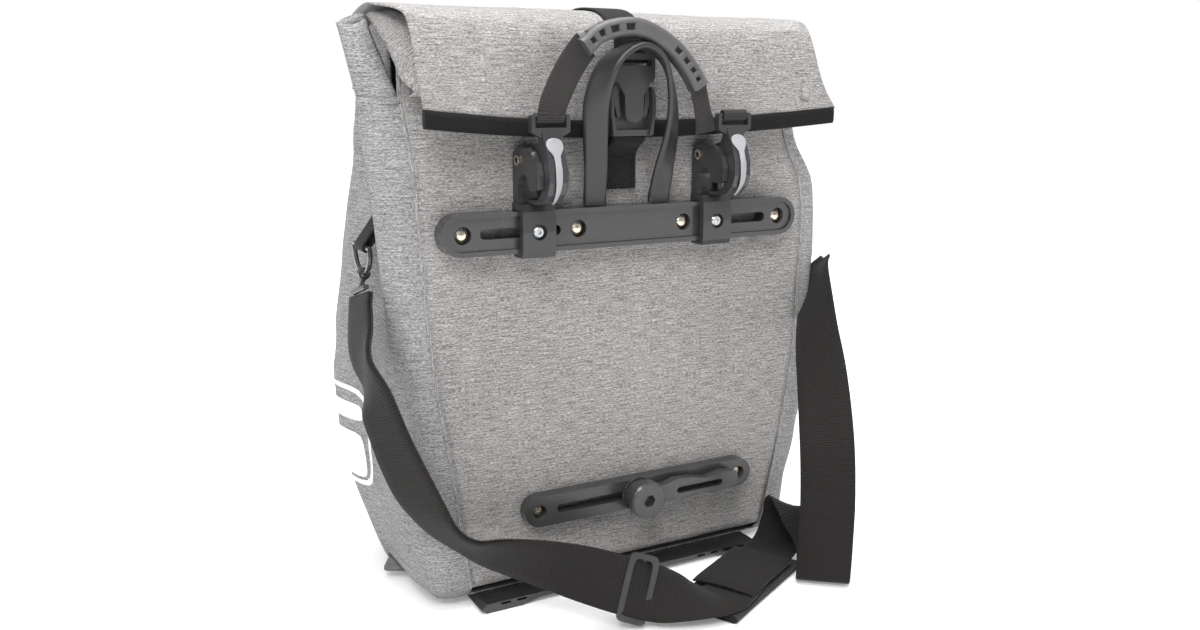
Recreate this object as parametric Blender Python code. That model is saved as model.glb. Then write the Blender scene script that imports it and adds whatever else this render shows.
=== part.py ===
"""Roll-top pannier bag with rail-mounted hooks, carry handle, anti-sway hook and shoulder strap.

Units are metres, +Z is up, X is the bag's width and -Y is the side that hangs on the rack.
The feet stand on z = 0. Most places are given from the back panel's rack-side face: its own
y is 0 there, and place() moves such a point to the world.
"""
import math

import bmesh
import bpy
from mathutils import Matrix, Vector

# ---------------------------------------------------------------- driving dimensions
BACK_Y = -0.0491            # world y of the back panel's rack-side face
GAP = 0.0003                # clearance between pieces that touch on the real bag
CLOTH = 0.0025              # wall of the coated fabric, as a plain solid
BODY_FOOT = 0.007           # lower edge of the fabric body
BODY_RIM = 0.345            # upper edge of the gussets and of the outer panel
BACK_TOP = 0.372            # upper edge of the back panel
# level, half width and depth of the body, from the foot to the rim
# level, half width, depth, and how far the side is folded in behind its near edge
SECTIONS = (
    (BODY_FOOT, 0.139, 0.104, 0.0),
    (0.035, 0.144, 0.122, 0.0),
    (0.070, 0.148, 0.134, 0.0),
    (0.115, 0.155, 0.143, 0.0),
    (0.160, 0.163, 0.146, 0.0015),
    (0.205, 0.169, 0.145, 0.0055),
    (0.250, 0.173, 0.140, 0.0095),
    (0.300, 0.175, 0.130, 0.0120),
    (BODY_RIM, 0.175, 0.118, 0.0120),
)
FOLD_FLOOR = (0.0295, 0.0660)      # y where the inward fold's floor starts and ends
BACK_RADIUS = 0.024         # plan radius of the rack-side corners
FRONT_RADIUS = 0.040        # plan radius of the outer corners
RAIL_Z = 0.2595             # centre line of the top rail
RAIL_HALF = 0.1375
RAIL_RADIUS = 0.01365
RAIL_DEPTH = 0.0127
RAIL_HOLES = (-0.1225, -0.041, 0.041, 0.1225)
HOOK_X = {"left": -0.0725, "right": 0.0650}
LEVER_PIN = (-0.0090, 0.3056)      # y, z of the hollow pin that a lever turns on
SLOT_BAR = (-0.0340, 0.3328)       # y, z of the lever's webbing bar
LOWER_RAIL_X = 0.012
LOWER_RAIL_Z = 0.0652
LOWER_RAIL_HALF = 0.0938
LOWER_RAIL_RADIUS = 0.01075
LOWER_RAIL_DEPTH = 0.0100
KNOB_X = 0.0057
FLAP_HINGE = (0.118, 0.3280)       # y, z of the line the roll-top folds back on
BUCKLE_X = -0.005
STRAP_WIDTH = 0.038
RING_PLACE = (0.1700, 0.0480, 0.2520)


def place(x, y, z):
    """World point of a point measured from the back panel's face."""
    return Vector((x, BACK_Y + y, z))


# ---------------------------------------------------------------- scene and materials
FINISHES = {
    # name: (colour, roughness, metallic)
    "grey_fabric": ((0.42, 0.41, 0.39), 0.85, 0.0),
    "dark_fabric": ((0.20, 0.20, 0.20), 0.85, 0.0),
    "black_webbing": ((0.022, 0.021, 0.020), 0.85, 0.0),
    "black_plastic": ((0.030, 0.030, 0.032), 0.35, 0.0),
    "grey_plastic": ((0.055, 0.056, 0.060), 0.45, 0.0),
    "black_rubber": ((0.045, 0.045, 0.048), 0.50, 0.0),
    "inlay_grey": ((0.62, 0.61, 0.63), 0.50, 0.0),
    "brass": ((0.72, 0.58, 0.36), 0.28, 1.0),
    "zinc_steel": ((0.75, 0.76, 0.77), 0.30, 1.0),
    "board": ((0.10, 0.10, 0.10), 0.60, 0.0),
}


def clear_scene():
    for thing in list(bpy.data.objects):
        bpy.data.objects.remove(thing, do_unlink=True)


def finish_material(piece_name, finish):
    colour, roughness, metallic = FINISHES[finish]
    material = bpy.data.materials.new(f"{piece_name}_{finish}")
    material.use_nodes = True
    shader = material.node_tree.nodes["Principled BSDF"]
    shader.inputs["Base Color"].default_value = (*colour, 1.0)
    shader.inputs["Roughness"].default_value = roughness
    shader.inputs["Metallic"].default_value = metallic
    material.diffuse_color = (*colour, 1.0)
    return material


def add_piece(name, shape, finish, pivot=(0.0, 0.0, 0.0), round_angle=None):
    """Make a bmesh into a named object whose origin is the pivot (a world point)."""
    pivot = Vector(pivot)
    bmesh.ops.recalc_face_normals(shape, faces=shape.faces[:])
    bmesh.ops.translate(shape, verts=shape.verts[:], vec=-pivot)
    mesh = bpy.data.meshes.new(name)
    shape.to_mesh(mesh)
    shape.free()
    if round_angle:
        mesh.shade_smooth()
        mesh.set_sharp_from_angle(angle=math.radians(round_angle))
    piece = bpy.data.objects.new(name, mesh)
    piece.location = pivot
    piece.data.materials.append(finish_material(name, finish))
    bpy.context.scene.collection.objects.link(piece)
    return piece


def add_cutter(name, shape):
    cutter = add_piece(name, shape, "board")
    cutter.hide_render = True
    cutter.display_type = "WIRE"
    return cutter


def combine(piece, shape, operation, tag):
    """Boolean a shape into a piece, through a hidden cutter object."""
    cutter = add_cutter(f"cutter_{piece.name}_{tag}", shape)
    modifier = piece.modifiers.new(f"{operation}_{tag}", "BOOLEAN")
    modifier.operation = operation
    modifier.solver = "EXACT"
    modifier.object = cutter


# ---------------------------------------------------------------- shape helpers
def arc(centre, radius, start, end, steps):
    """Points of an arc in a plane; the angles are in degrees."""
    turn = [math.radians(start + (end - start) * i / steps) for i in range(steps + 1)]
    return [(centre[0] + radius * math.cos(a), centre[1] + radius * math.sin(a)) for a in turn]


def stadium(centre, half_length, radius, steps=8):
    """A bar outline with round ends, long along the first axis."""
    reach = half_length - radius
    right = arc((centre[0] + reach, centre[1]), radius, -90, 90, steps)
    left = arc((centre[0] - reach, centre[1]), radius, 90, 270, steps)
    return right + left


def ring(centre, radius, steps=20):
    return arc(centre, radius, 0, 360 * (steps - 1) / steps, steps - 1)


def rounded_box(centre, half_a, half_b, radius, steps=3):
    points = []
    for quarter, (sa, sb) in enumerate(((1, 1), (-1, 1), (-1, -1), (1, -1))):
        corner = (centre[0] + sa * (half_a - radius), centre[1] + sb * (half_b - radius))
        points += arc(corner, radius, 90 * quarter, 90 * quarter + 90, steps)
    return points


def prism_points(outline, axis, level):
    """Outline points in the plane across an axis: X takes (y, z), Y takes (x, z), Z (x, y)."""
    if axis == "X":
        return [place(level, a, b) for a, b in outline]
    if axis == "Y":
        return [place(a, level, b) for a, b in outline]
    return [place(a, b, level) for a, b in outline]


def loft(rings, closed=False):
    """A closed solid from equal rings of points; its ends are capped, or joined if closed."""
    shape = bmesh.new()
    rows = [[shape.verts.new(p) for p in points] for points in rings]
    pairs = list(zip(rows, rows[1:]))
    if closed:
        pairs.append((rows[-1], rows[0]))
    for low, high in pairs:
        for i in range(len(low)):
            j = (i + 1) % len(low)
            shape.faces.new((low[i], low[j], high[j], high[i]))
    if not closed:
        shape.faces.new(list(reversed(rows[0])))
        shape.faces.new(rows[-1])
    return shape


def prism(outline, axis, low, high):
    return loft([prism_points(outline, axis, low), prism_points(outline, axis, high)])


def box(low, high):
    outline = [(low[0], low[1]), (high[0], low[1]), (high[0], high[1]), (low[0], high[1])]
    return prism(outline, "Z", low[2], high[2])


def sheet(outer, inner):
    """A closed solid between two equal grids of points, with its four edges walled."""
    shape = bmesh.new()
    out = [[shape.verts.new(p) for p in row] for row in outer]
    back = [[shape.verts.new(p) for p in row] for row in inner]
    rows, columns = len(out), len(out[0])
    for i in range(rows - 1):
        for j in range(columns - 1):
            shape.faces.new((out[i][j], out[i][j + 1], out[i + 1][j + 1], out[i + 1][j]))
            shape.faces.new((back[i + 1][j], back[i + 1][j + 1], back[i][j + 1], back[i][j]))
    for i in range(rows - 1):
        for j in (0, columns - 1):
            shape.faces.new((out[i][j], out[i + 1][j], back[i + 1][j], back[i][j]))
    for j in range(columns - 1):
        for i in (0, rows - 1):
            shape.faces.new((out[i][j + 1], out[i][j], back[i][j], back[i][j + 1]))
    return shape


def smooth_route(points, steps):
    """Points along a Catmull-Rom curve through the given vectors."""
    points = [Vector(p) for p in points]
    ends = [2 * points[0] - points[1]] + points + [2 * points[-1] - points[-2]]
    route = []
    for a, b, c, d in zip(ends, ends[1:], ends[2:], ends[3:]):
        for k in range(steps):
            t = k / steps
            route.append(
                0.5 * (2 * b + (c - a) * t + (2 * a - 5 * b + 4 * c - d) * t * t
                       + (3 * b - a - 3 * c + d) * t ** 3)
            )
    return route + [points[-1]]


def band(stations, width, thickness, steps=3):
    """A flat band: each station is a point and the direction across the band."""
    route = smooth_route([place(*point) for point, _ in stations], steps)
    across = smooth_route([Vector(side).normalized() for _, side in stations], steps)
    rings = []
    for i, point in enumerate(route):
        ahead = route[min(i + 1, len(route) - 1)] - route[max(i - 1, 0)]
        normal = ahead.cross(across[i]).normalized()
        side = normal.cross(ahead).normalized() * (width / 2)
        lift = normal * (thickness / 2)
        rings.append([point - side - lift, point + side - lift, point + side + lift,
                      point - side + lift])
    return loft(rings)


def rod(points, radius, sides=8, closed=False):
    """A round bar through world points that lie in one plane or nearly so."""
    points = [Vector(p) for p in points]
    count = len(points)
    rings = []
    for i, point in enumerate(points):
        before = points[(i - 1) % count] if closed or i else point
        after = points[(i + 1) % count] if closed or i < count - 1 else point
        ahead = (after - before).normalized()
        helper = Vector((1, 0, 0)) if abs(ahead.x) < 0.8 else Vector((0, 1, 0))
        u = ahead.cross(helper).normalized()
        v = ahead.cross(u)
        turn = [math.tau * k / sides for k in range(sides)]
        rings.append([point + radius * (math.cos(a) * u + math.sin(a) * v) for a in turn])
    return loft(rings, closed)


def join_shapes(*shapes):
    """Put shapes that a Boolean will work on as one cutter into one bmesh."""
    joined = bmesh.new()
    for shape in shapes:
        mesh = bpy.data.meshes.new("joined")
        shape.to_mesh(mesh)
        shape.free()
        joined.from_mesh(mesh)
        bpy.data.meshes.remove(mesh)
    return joined


# ---------------------------------------------------------------- fabric body
def wall_path(half_width, depth, fold, inset):
    """Plan points of the right half of the body, from the back seam to the outer middle."""
    rb = BACK_RADIUS - inset
    rf = FRONT_RADIUS - inset
    side = half_width - inset
    seam = half_width - BACK_RADIUS + GAP
    path = [(seam, inset)]
    path += arc((half_width - BACK_RADIUS, BACK_RADIUS), rb, -90, 0, 4)[1:]
    end = min(FOLD_FLOOR[1], depth - FRONT_RADIUS - 0.0020)
    path += [(side - fold, FOLD_FLOOR[0]), (side - fold, end)]
    path += arc((half_width - FRONT_RADIUS, depth - FRONT_RADIUS), rf, 0, 90, 6)
    path += [(0.0, depth - inset)]
    return path


CORNER_SPLIT = 10           # index on the path where the gusset meets the outer panel


def gusset(name, sign):
    outer, inner = [], []
    for z, half_width, depth, fold in SECTIONS:
        for rows, inset in ((outer, 0.0), (inner, CLOTH)):
            path = wall_path(half_width, depth, fold, inset)[:CORNER_SPLIT + 1]
            rows.append([place(sign * x, y, z) for x, y in path])
    add_piece(name, sheet(outer, inner), "grey_fabric", round_angle=50)


def outer_panel():
    outer, inner = [], []
    for z, half_width, depth, fold in SECTIONS:
        for rows, inset in ((outer, 0.0), (inner, CLOTH)):
            path = wall_path(half_width, depth, fold, inset)[CORNER_SPLIT:]
            start, following = Vector(path[0]), Vector(path[1])
            path[0] = tuple(start + (following - start).normalized() * GAP)
            right = [place(x, y, z) for x, y in path]
            left = [place(-x, y, z) for x, y in path[:-1]]
            rows.append(right + left[::-1])
    add_piece("outer_panel", sheet(outer, inner), "grey_fabric", round_angle=50)


def back_outline():
    """Half width of the flat back panel at each level, with its round upper corners."""
    right = [(half_width - BACK_RADIUS, z) for z, half_width, _, _ in SECTIONS]
    right += [(0.145, 0.360), (0.136, 0.368), (0.124, BACK_TOP)]
    return right + [(-x, z) for x, z in reversed(right)]


def back_panel():
    piece = add_piece("back_panel", prism(back_outline(), "Y", 0.0, CLOTH), "grey_fabric")
    holes = [prism(ring((x, RAIL_Z), 0.0030, 12), "Y", -0.002, 0.008) for x in RAIL_HOLES]
    combine(piece, join_shapes(*holes), "DIFFERENCE", "rivet_holes")


def stiffener_board():
    back = CLOTH + GAP
    outline = rounded_box((0.0, 0.180), 0.112, 0.150, 0.015)
    # the board reaches out to the end rivets at the rail's level
    wide = rounded_box((0.0, RAIL_Z), 0.132, 0.060, 0.015)
    piece = add_piece("stiffener_board", prism(outline, "Y", back, back + 0.0022), "board")
    combine(piece, prism(wide, "Y", back, back + 0.0022), "UNION", "shoulders")
    holes = [prism(ring((x, RAIL_Z), 0.0030, 12), "Y", 0.0, 0.010) for x in RAIL_HOLES]
    combine(piece, join_shapes(*holes), "DIFFERENCE", "rivet_holes")


def bottom_panel():
    _, half_width, depth, fold = SECTIONS[0]
    right = wall_path(half_width, depth, fold, CLOTH + GAP)[:-1]
    right[0] = (half_width - BACK_RADIUS, CLOTH + GAP)
    outline = right + [(-x, y) for x, y in reversed(right)]
    shape = prism(outline, "Z", BODY_FOOT + 0.0001, BODY_FOOT + CLOTH)
    add_piece("bottom_panel", shape, "grey_fabric")


def runner_outline(half_length, top):
    """Arched skid: two feet on the floor and a raised middle."""
    foot = half_length - 0.026
    return [(-half_length, top), (-half_length - 0.004, 0.003), (-half_length, 0.0),
            (-foot, 0.0), (-foot + 0.014, 0.0032), (foot - 0.014, 0.0032), (foot, 0.0),
            (half_length, 0.0), (half_length + 0.004, 0.003), (half_length, top)]


def base_runners():
    top = BODY_FOOT - GAP
    rack_side = prism(runner_outline(0.112, top), "Y", -0.011, 0.016)
    piece = add_piece("base_runner_rack", rack_side, "black_plastic")
    slots = [box((x - 0.0035, -0.020, 0.0042), (x + 0.0035, 0.030, 0.0058))
             for x in (-0.098, -0.086, 0.062, 0.074, 0.086, 0.098)]
    combine(piece, join_shapes(*slots), "DIFFERENCE", "windows")
    outer_side = prism(runner_outline(0.104, top), "Y", 0.074, 0.096)
    add_piece("base_runner_outer", outer_side, "black_plastic")


# ---------------------------------------------------------------- roll-top
def flap_edge_y(x):
    """Outer face of the hanging flap: pulled in at the buckle, flared at its ends."""
    return -0.0115 - 0.0205 * (x / 0.15) ** 2


def flap_edge_z(x):
    return 0.3285 + 0.0080 * (x / 0.15) ** 2


def flap_profile(x, inset):
    """Section of the roll-top at one x, from its rear edge over the ridge to its hem."""
    y, z = flap_edge_y(x), flap_edge_z(x)
    return [(0.1180 - inset, BODY_RIM + 0.0022), (0.1140 - inset, 0.366),
            (0.1000 - 0.7 * inset, 0.3830 - 0.6 * inset), (0.0720, 0.3960 - inset),
            (0.0420, 0.4030 - inset), (0.0160, 0.4010 - inset), (y + 0.0110, 0.3945 - inset),
            (y + 0.0020 + inset, 0.3820), (y + inset, 0.3560), (y + inset, z)]


FLAP_HALF = (0.172, 0.172, 0.170, 0.167, 0.164, 0.162, 0.160, 0.158, 0.155, 0.151)
FLAP_STEPS = 12


def roll_flap():
    outer, inner = [], []
    for i in range(FLAP_STEPS + 1):
        share = -1 + 2 * i / FLAP_STEPS
        for rows, inset in ((outer, 0.0), (inner, CLOTH)):
            profile = [flap_profile(share * half, inset)[k] for k, half in enumerate(FLAP_HALF)]
            rows.append([place(share * half, y, z) for half, (y, z) in zip(FLAP_HALF, profile)])
    pivot = place(0.0, *FLAP_HINGE)
    add_piece("roll_flap", sheet(outer, inner), "grey_fabric", pivot, round_angle=50)


def flap_binding():
    """Woven edging: a strip along the flap's hem."""
    rings = []
    for i in range(FLAP_STEPS + 1):
        x = 0.152 * (-1 + 2 * i / FLAP_STEPS)
        y, top = flap_edge_y(x), flap_edge_z(x) - GAP
        rings.append([place(x, y - 0.0008, top), place(x, y - 0.0008, top - 0.0098),
                      place(x, y + 0.0033, top - 0.0098), place(x, y + 0.0033, top)])
    add_piece("flap_binding", loft(rings), "black_webbing", place(0.0, *FLAP_HINGE))


def flap_tucks():
    """The gusset folded in at each end of the roll, as a plain end wall under it."""
    under = [flap_profile(0.150, CLOTH + 0.0006)[k] for k in range(1, 8)]
    outline = [(0.1130, BODY_RIM + 0.0025)] + under + [(0.0040, 0.3760), (0.0040, 0.3500)]
    outline[1] = (0.1105, 0.364)
    for side, sign in (("left", -1), ("right", 1)):
        low, high = sorted((sign * 0.1500, sign * 0.1530))
        shape = prism(outline, "X", low, high)
        add_piece(f"roll_tuck_{side}", shape, "grey_fabric", place(0.0, *FLAP_HINGE))


def closure_strap():
    """Webbing over the roll: on the flap, above the buckle, and sewn to the outer panel."""
    lift = 0.0005
    outer = [(y, z) for y, z in flap_profile(BUCKLE_X, 0.0)[:7]]
    path = [(0.1180 + lift, 0.3500), (0.1140 + lift, 0.3665), (0.1005, 0.3840),
            (0.0722, 0.3965 + lift), (0.0420, 0.4035 + lift), (0.0160, 0.4015 + lift),
            (outer[-1][0] - 0.0005, 0.3955)]
    thick = 0.0015
    rings = []
    for i, (y, z) in enumerate(path):
        before, after = path[max(i - 1, 0)], path[min(i + 1, len(path) - 1)]
        along = Vector((after[0] - before[0], after[1] - before[1])).normalized()
        out = Vector((-along.y, along.x)) * -1
        rings.append([place(BUCKLE_X - 0.0125, y, z), place(BUCKLE_X + 0.0125, y, z),
                      place(BUCKLE_X + 0.0125, y + out.x * thick, z + out.y * thick),
                      place(BUCKLE_X - 0.0125, y + out.x * thick, z + out.y * thick)])
    add_piece("closure_strap", loft(rings), "black_webbing", place(0.0, *FLAP_HINGE))
    sewn = [place(BUCKLE_X, 0.1198, 0.3400), place(BUCKLE_X, 0.1304, 0.3000),
            place(BUCKLE_X, 0.1405, 0.2500)]
    rings = []
    for point in sewn:
        rings.append([point + Vector((-0.0125, 0.0, 0.0)), point + Vector((0.0125, 0.0, 0.0)),
                      point + Vector((0.0125, thick, 0.0)), point + Vector((-0.0125, thick, 0.0))])
    add_piece("closure_anchor", loft(rings), "black_webbing")


# ---------------------------------------------------------------- buckle
BUCKLE_BACK = -0.0130       # y of the buckle's rear face


def buckle_female():
    x, back = BUCKLE_X, BUCKLE_BACK
    plate = box((x - 0.0150, back - 0.0015, 0.3230), (x + 0.0150, back, 0.3510))
    piece = add_piece("buckle_female", plate, "black_plastic")
    for tag, sign in (("left_wall", -1), ("right_wall", 1)):
        bow = [(sign * 0.0122, 0.3200), (sign * 0.0150, 0.3200), (sign * 0.0168, 0.3330),
               (sign * 0.0168, 0.3450), (sign * 0.0150, 0.3510), (sign * 0.0135, 0.3510),
               (sign * 0.0146, 0.3430), (sign * 0.0146, 0.3340)]
        outline = [(x + a, b) for a, b in bow]
        combine(piece, prism(outline, "Y", back - 0.0080, back), "UNION", tag)
    bar = box((x - 0.0150, back - 0.0060, 0.3195), (x + 0.0150, back, 0.3235))
    combine(piece, bar, "UNION", "bar")


def buckle_male():
    x, back = BUCKLE_X, BUCKLE_BACK - 0.0018
    pivot = place(x, back, 0.3500)
    half = [(0.0155, 0.3725), (0.0155, 0.3570), (0.0118, 0.3535), (0.0072, 0.3460),
            (0.0066, 0.3330), (0.0048, 0.3295), (0.0, 0.3280)]
    outline = [(x + a, z) for a, z in half] + [(x - a, z) for a, z in reversed(half[:-1])]
    shape = prism(outline, "Y", back - 0.0070, back - 0.0040)
    piece = add_piece("buckle_male", shape, "black_plastic", pivot)
    block = box((x - 0.0150, back - 0.0060, 0.3540), (x + 0.0150, back, 0.3720))
    combine(piece, block, "UNION", "block")
    slot = box((x - 0.0130, back - 0.0100, 0.3645), (x + 0.0130, back + 0.0030, 0.3685))
    combine(piece, slot, "DIFFERENCE", "webbing_slot")
    for side, sign in (("left", -1), ("right", 1)):
        points = [(0.0098, 0.3525), (0.0128, 0.3526), (0.0132, 0.3400), (0.0108, 0.3318),
                  (0.0084, 0.3318), (0.0096, 0.3400)]
        prong = [(x + sign * a, b) for a, b in points]
        shape = prism(prong, "Y", back - 0.0036, back - 0.0004)
        pivot = place(x + sign * 0.0113, back - 0.0020, 0.3524)
        add_piece(f"buckle_prong_{side}", shape, "black_plastic", pivot)


def buckle_webbing():
    """The loop that carries the female half, with its stitched patch on the back panel."""
    x = BUCKLE_X
    patch = box((x - 0.0125, -GAP - 0.0028, 0.2840), (x + 0.0125, -GAP, 0.3090))
    piece = add_piece("buckle_anchor_webbing", patch, "black_webbing")
    riser = [(-GAP - 0.0024, 0.3060), (-GAP - 0.0004, 0.3060), (-GAP - 0.0004, 0.3080),
             (-0.0130, 0.3166), (-0.0132, 0.3191), (-0.0152, 0.3191), (-0.0150, 0.3156)]
    combine(piece, prism(riser, "X", x - 0.0125, x + 0.0125), "UNION", "riser")
    tab = box((x - 0.0125, -0.0156, 0.3735), (x + 0.0125, -0.0141, 0.3880))
    add_piece("closure_strap_tail", tab, "black_webbing", place(x, -0.0148, 0.3735))


# ---------------------------------------------------------------- top rail, hooks and levers
def top_rail():
    face = -GAP - RAIL_DEPTH
    body = prism(stadium((0.0, RAIL_Z), RAIL_HALF, RAIL_RADIUS), "Y", face, -GAP)
    piece = add_piece("top_rail", body, "black_plastic", round_angle=40)
    channel = prism(stadium((0.0, RAIL_Z), RAIL_HALF - 0.0032, RAIL_RADIUS - 0.0032), "Y",
                    face - 0.002, face + 0.0018)
    combine(piece, channel, "DIFFERENCE", "channel")
    bores = [prism(ring((x, RAIL_Z), 0.0058), "Y", face - 0.003, -0.0045) for x in RAIL_HOLES]
    combine(piece, join_shapes(*bores), "DIFFERENCE", "counterbores")
    shanks = [prism(ring((x, RAIL_Z), 0.0030, 12), "Y", -0.0060, 0.002) for x in RAIL_HOLES]
    combine(piece, join_shapes(*shanks), "DIFFERENCE", "shank_holes")
    slots = []
    for sign in (-1, 1):
        outline = stadium((sign * 0.0825, RAIL_Z), 0.0285, 0.0034, 5)
        slots.append(prism(outline, "Y", face - 0.003, 0.002))
    combine(piece, join_shapes(*slots), "DIFFERENCE", "slots")


def rail_rivets():
    for number, x in enumerate(RAIL_HOLES, 1):
        head = [(0.0, -0.0092), (0.0030, -0.0088), (0.0050, -0.0074), (0.0052, -0.0048),
                (0.0026, -0.0048), (0.0026, 0.0046), (0.0, 0.0046)]
        shape = turned(head, (x, RAIL_Z), 16)
        add_piece(f"rail_rivet_{number}", shape, "brass", round_angle=40)


def turned(profile, centre, steps):
    """Turn a (radius, y) profile about an axis along Y; the profile ends on the axis."""
    rings = []
    for radius, y in profile[1:-1]:
        rings.append(prism_points(ring(centre, radius, steps), "Y", y))
    shape = bmesh.new()
    rows = [[shape.verts.new(p) for p in points] for points in rings]
    first = shape.verts.new(place(centre[0], profile[0][1], centre[1]))
    last = shape.verts.new(place(centre[0], profile[-1][1], centre[1]))
    for j in range(steps):
        k = (j + 1) % steps
        shape.faces.new((first, rows[0][k], rows[0][j]))
        shape.faces.new((last, rows[-1][j], rows[-1][k]))
        for low, high in zip(rows, rows[1:]):
            shape.faces.new((low[j], low[k], high[k], high[j]))
    return shape


# side view of a hook, as (y, z): rear arm, round back over the rack tube, front tooth
HOOK_OUTLINE = (
    [(-0.0082, 0.2772), (-0.0006, 0.2772), (-0.0006, 0.3030)]
    + arc((-0.0090, 0.3050), 0.0084, 0, 80, 4)
    + [(-0.0195, 0.3138), (-0.0290, 0.3112), (-0.0362, 0.3050), (-0.0392, 0.2975),
       (-0.0385, 0.2890), (-0.0335, 0.2872), (-0.0262, 0.2876)]
    + arc((-0.0168, 0.2893), 0.0090, 180, 0, 8)
)
LEVER_OUTLINE = (
    [(-0.0046, 0.3045)]
    + arc((-0.0090, 0.3056), 0.0044, 0, 90, 4)
    + [(-0.0200, 0.3112), (-0.0290, 0.3150), (-0.0312, 0.3200), (-0.0312, 0.3240),
       (-0.0366, 0.3240), (-0.0385, 0.3190), (-0.0430, 0.3110), (-0.0464, 0.3020),
       (-0.0466, 0.2930), (-0.0432, 0.2852), (-0.0368, 0.2803), (-0.0280, 0.2783),
       (-0.0175, 0.2783), (-0.0118, 0.2798), (-0.0125, 0.2812), (-0.0190, 0.2805),
       (-0.0275, 0.2812), (-0.0330, 0.2850), (-0.0352, 0.2925), (-0.0338, 0.2995),
       (-0.0280, 0.3040), (-0.0190, 0.3040), (-0.0110, 0.3012)]
)
LEVER_HALF = 0.0062
CHEEK = (0.0066, 0.0106)    # inner and outer half width of a hook's cheeks


def hook_body(side, x):
    """Two cheeks, the rear arm between them and the clip that wraps the rail."""
    pivot = place(x, -0.0090, RAIL_Z)
    cheeks = {sign: prism(HOOK_OUTLINE, "X", *sorted((x + sign * CHEEK[0], x + sign * CHEEK[1])))
              for sign in (-1, 1)}
    piece = add_piece(f"hook_{side}", cheeks[-1], "black_plastic", pivot, round_angle=40)
    combine(piece, cheeks[1], "UNION", "right_cheek")
    arm = box((x - 0.0098, -0.0042, 0.2762), (x + 0.0098, -0.0009, 0.2990))
    combine(piece, arm, "UNION", "arm")
    front = -GAP - RAIL_DEPTH - GAP
    low, high = RAIL_Z - RAIL_RADIUS - GAP, RAIL_Z + RAIL_RADIUS + GAP
    clip = [(-0.0012, high), (-0.0012, high + 0.0048), (-0.0150, high + 0.0042),
            (front - 0.0045, high - 0.0005), (front - 0.0050, RAIL_Z),
            (front - 0.0045, low + 0.0005), (front - 0.0028, low - 0.0026),
            (-0.0030, low - 0.0026), (-0.0030, low), (front, low), (front, high)]
    combine(piece, prism(clip, "X", x - 0.0117, x + 0.0117), "UNION", "clip")
    bore = prism(ring((x, RAIL_Z), 0.0052, 16), "Y", front - 0.009, front - 0.0020)
    combine(piece, bore, "DIFFERENCE", "screw_seat")
    shank = prism(ring((x, RAIL_Z), 0.0026, 12), "Y", front - 0.009, front + 0.001)
    combine(piece, shank, "DIFFERENCE", "screw_hole")
    pin_hole = prism(ring(LEVER_PIN, 0.0030, 16), "X", x - 0.02, x + 0.02)
    combine(piece, pin_hole, "DIFFERENCE", "pin_hole")


def clip_screw(side, x):
    seat = -GAP - RAIL_DEPTH - GAP - 0.0020
    profile = [(0.0, seat - 0.0022), (0.0030, seat - 0.0022), (0.0042, seat - 0.0012),
               (0.0042, seat - GAP), (0.0021, seat - GAP), (0.0021, -0.0020), (0.0, -0.0020)]
    piece = add_piece(f"clip_screw_{side}", turned(profile, (x, RAIL_Z), 16), "zinc_steel",
                      place(x, -0.0090, RAIL_Z), round_angle=40)
    socket = prism(ring((x, RAIL_Z), 0.0017, 6), "Y", seat - 0.004, seat - 0.0006)
    combine(piece, socket, "DIFFERENCE", "socket")


def tube_insert(side, x):
    """Soft liner of the hook's mouth, between the cheeks' arch and the rack tube."""
    outer = arc((-0.0168, 0.2893), 0.0087, 178, 2, 8)
    inner = arc((-0.0168, 0.2893), 0.0074, 2, 178, 8)
    shape = prism(outer + inner, "X", x - CHEEK[1], x + CHEEK[1])
    add_piece(f"tube_insert_{side}", shape, "black_rubber", place(x, -0.0090, RAIL_Z))


def lever(side, x):
    pivot = place(x, *LEVER_PIN)
    body = prism(LEVER_OUTLINE, "X", x - LEVER_HALF, x + LEVER_HALF)
    piece = add_piece(f"lever_{side}", body, "grey_plastic", pivot, round_angle=40)
    half = [(0.0060, 0.3195), (0.0132, 0.3236), (0.0132, 0.3335), (0.0120, 0.3343),
            (0.0106, 0.3343), (0.0106, 0.3262)]
    frame = [(x + a, z) for a, z in half] + [(x - a, z) for a, z in reversed(half)]
    combine(piece, prism(frame, "Y", -0.0364, -0.0316), "UNION", "slot_frame")
    bar = prism(ring(SLOT_BAR, 0.0016, 12), "X", x - 0.0118, x + 0.0118)
    combine(piece, bar, "UNION", "slot_bar")
    bore = prism(ring(LEVER_PIN, 0.0030, 16), "X", x - 0.01, x + 0.01)
    combine(piece, bore, "DIFFERENCE", "pin_bore")


def lever_inlay(side, x):
    """Light inlay down the lever's front: a round head, then a narrow tail to a point."""
    rows = [(-0.0389, 0.3188, 0.0028), (-0.0402, 0.3162, 0.0040), (-0.0430, 0.3116, 0.0038),
            (-0.0444, 0.3082, 0.0024), (-0.0467, 0.3020, 0.0017), (-0.0469, 0.2930, 0.0016),
            (-0.0436, 0.2850, 0.0013), (-0.0372, 0.2799, 0.0005)]
    lift = 0.0007
    rings = []
    for i, (y, z, half) in enumerate(rows):
        before, after = rows[max(i - 1, 0)], rows[min(i + 1, len(rows) - 1)]
        along = Vector((after[0] - before[0], after[1] - before[1])).normalized()
        out = Vector((along.y, -along.x))
        near = (y + out.x * GAP, z + out.y * GAP)
        far = (y + out.x * (GAP + lift), z + out.y * (GAP + lift))
        rings.append([place(x - half, *near), place(x + half, *near), place(x + half, *far),
                      place(x - half, *far)])
    add_piece(f"lever_inlay_{side}", loft(rings), "inlay_grey", place(x, *LEVER_PIN))


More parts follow.
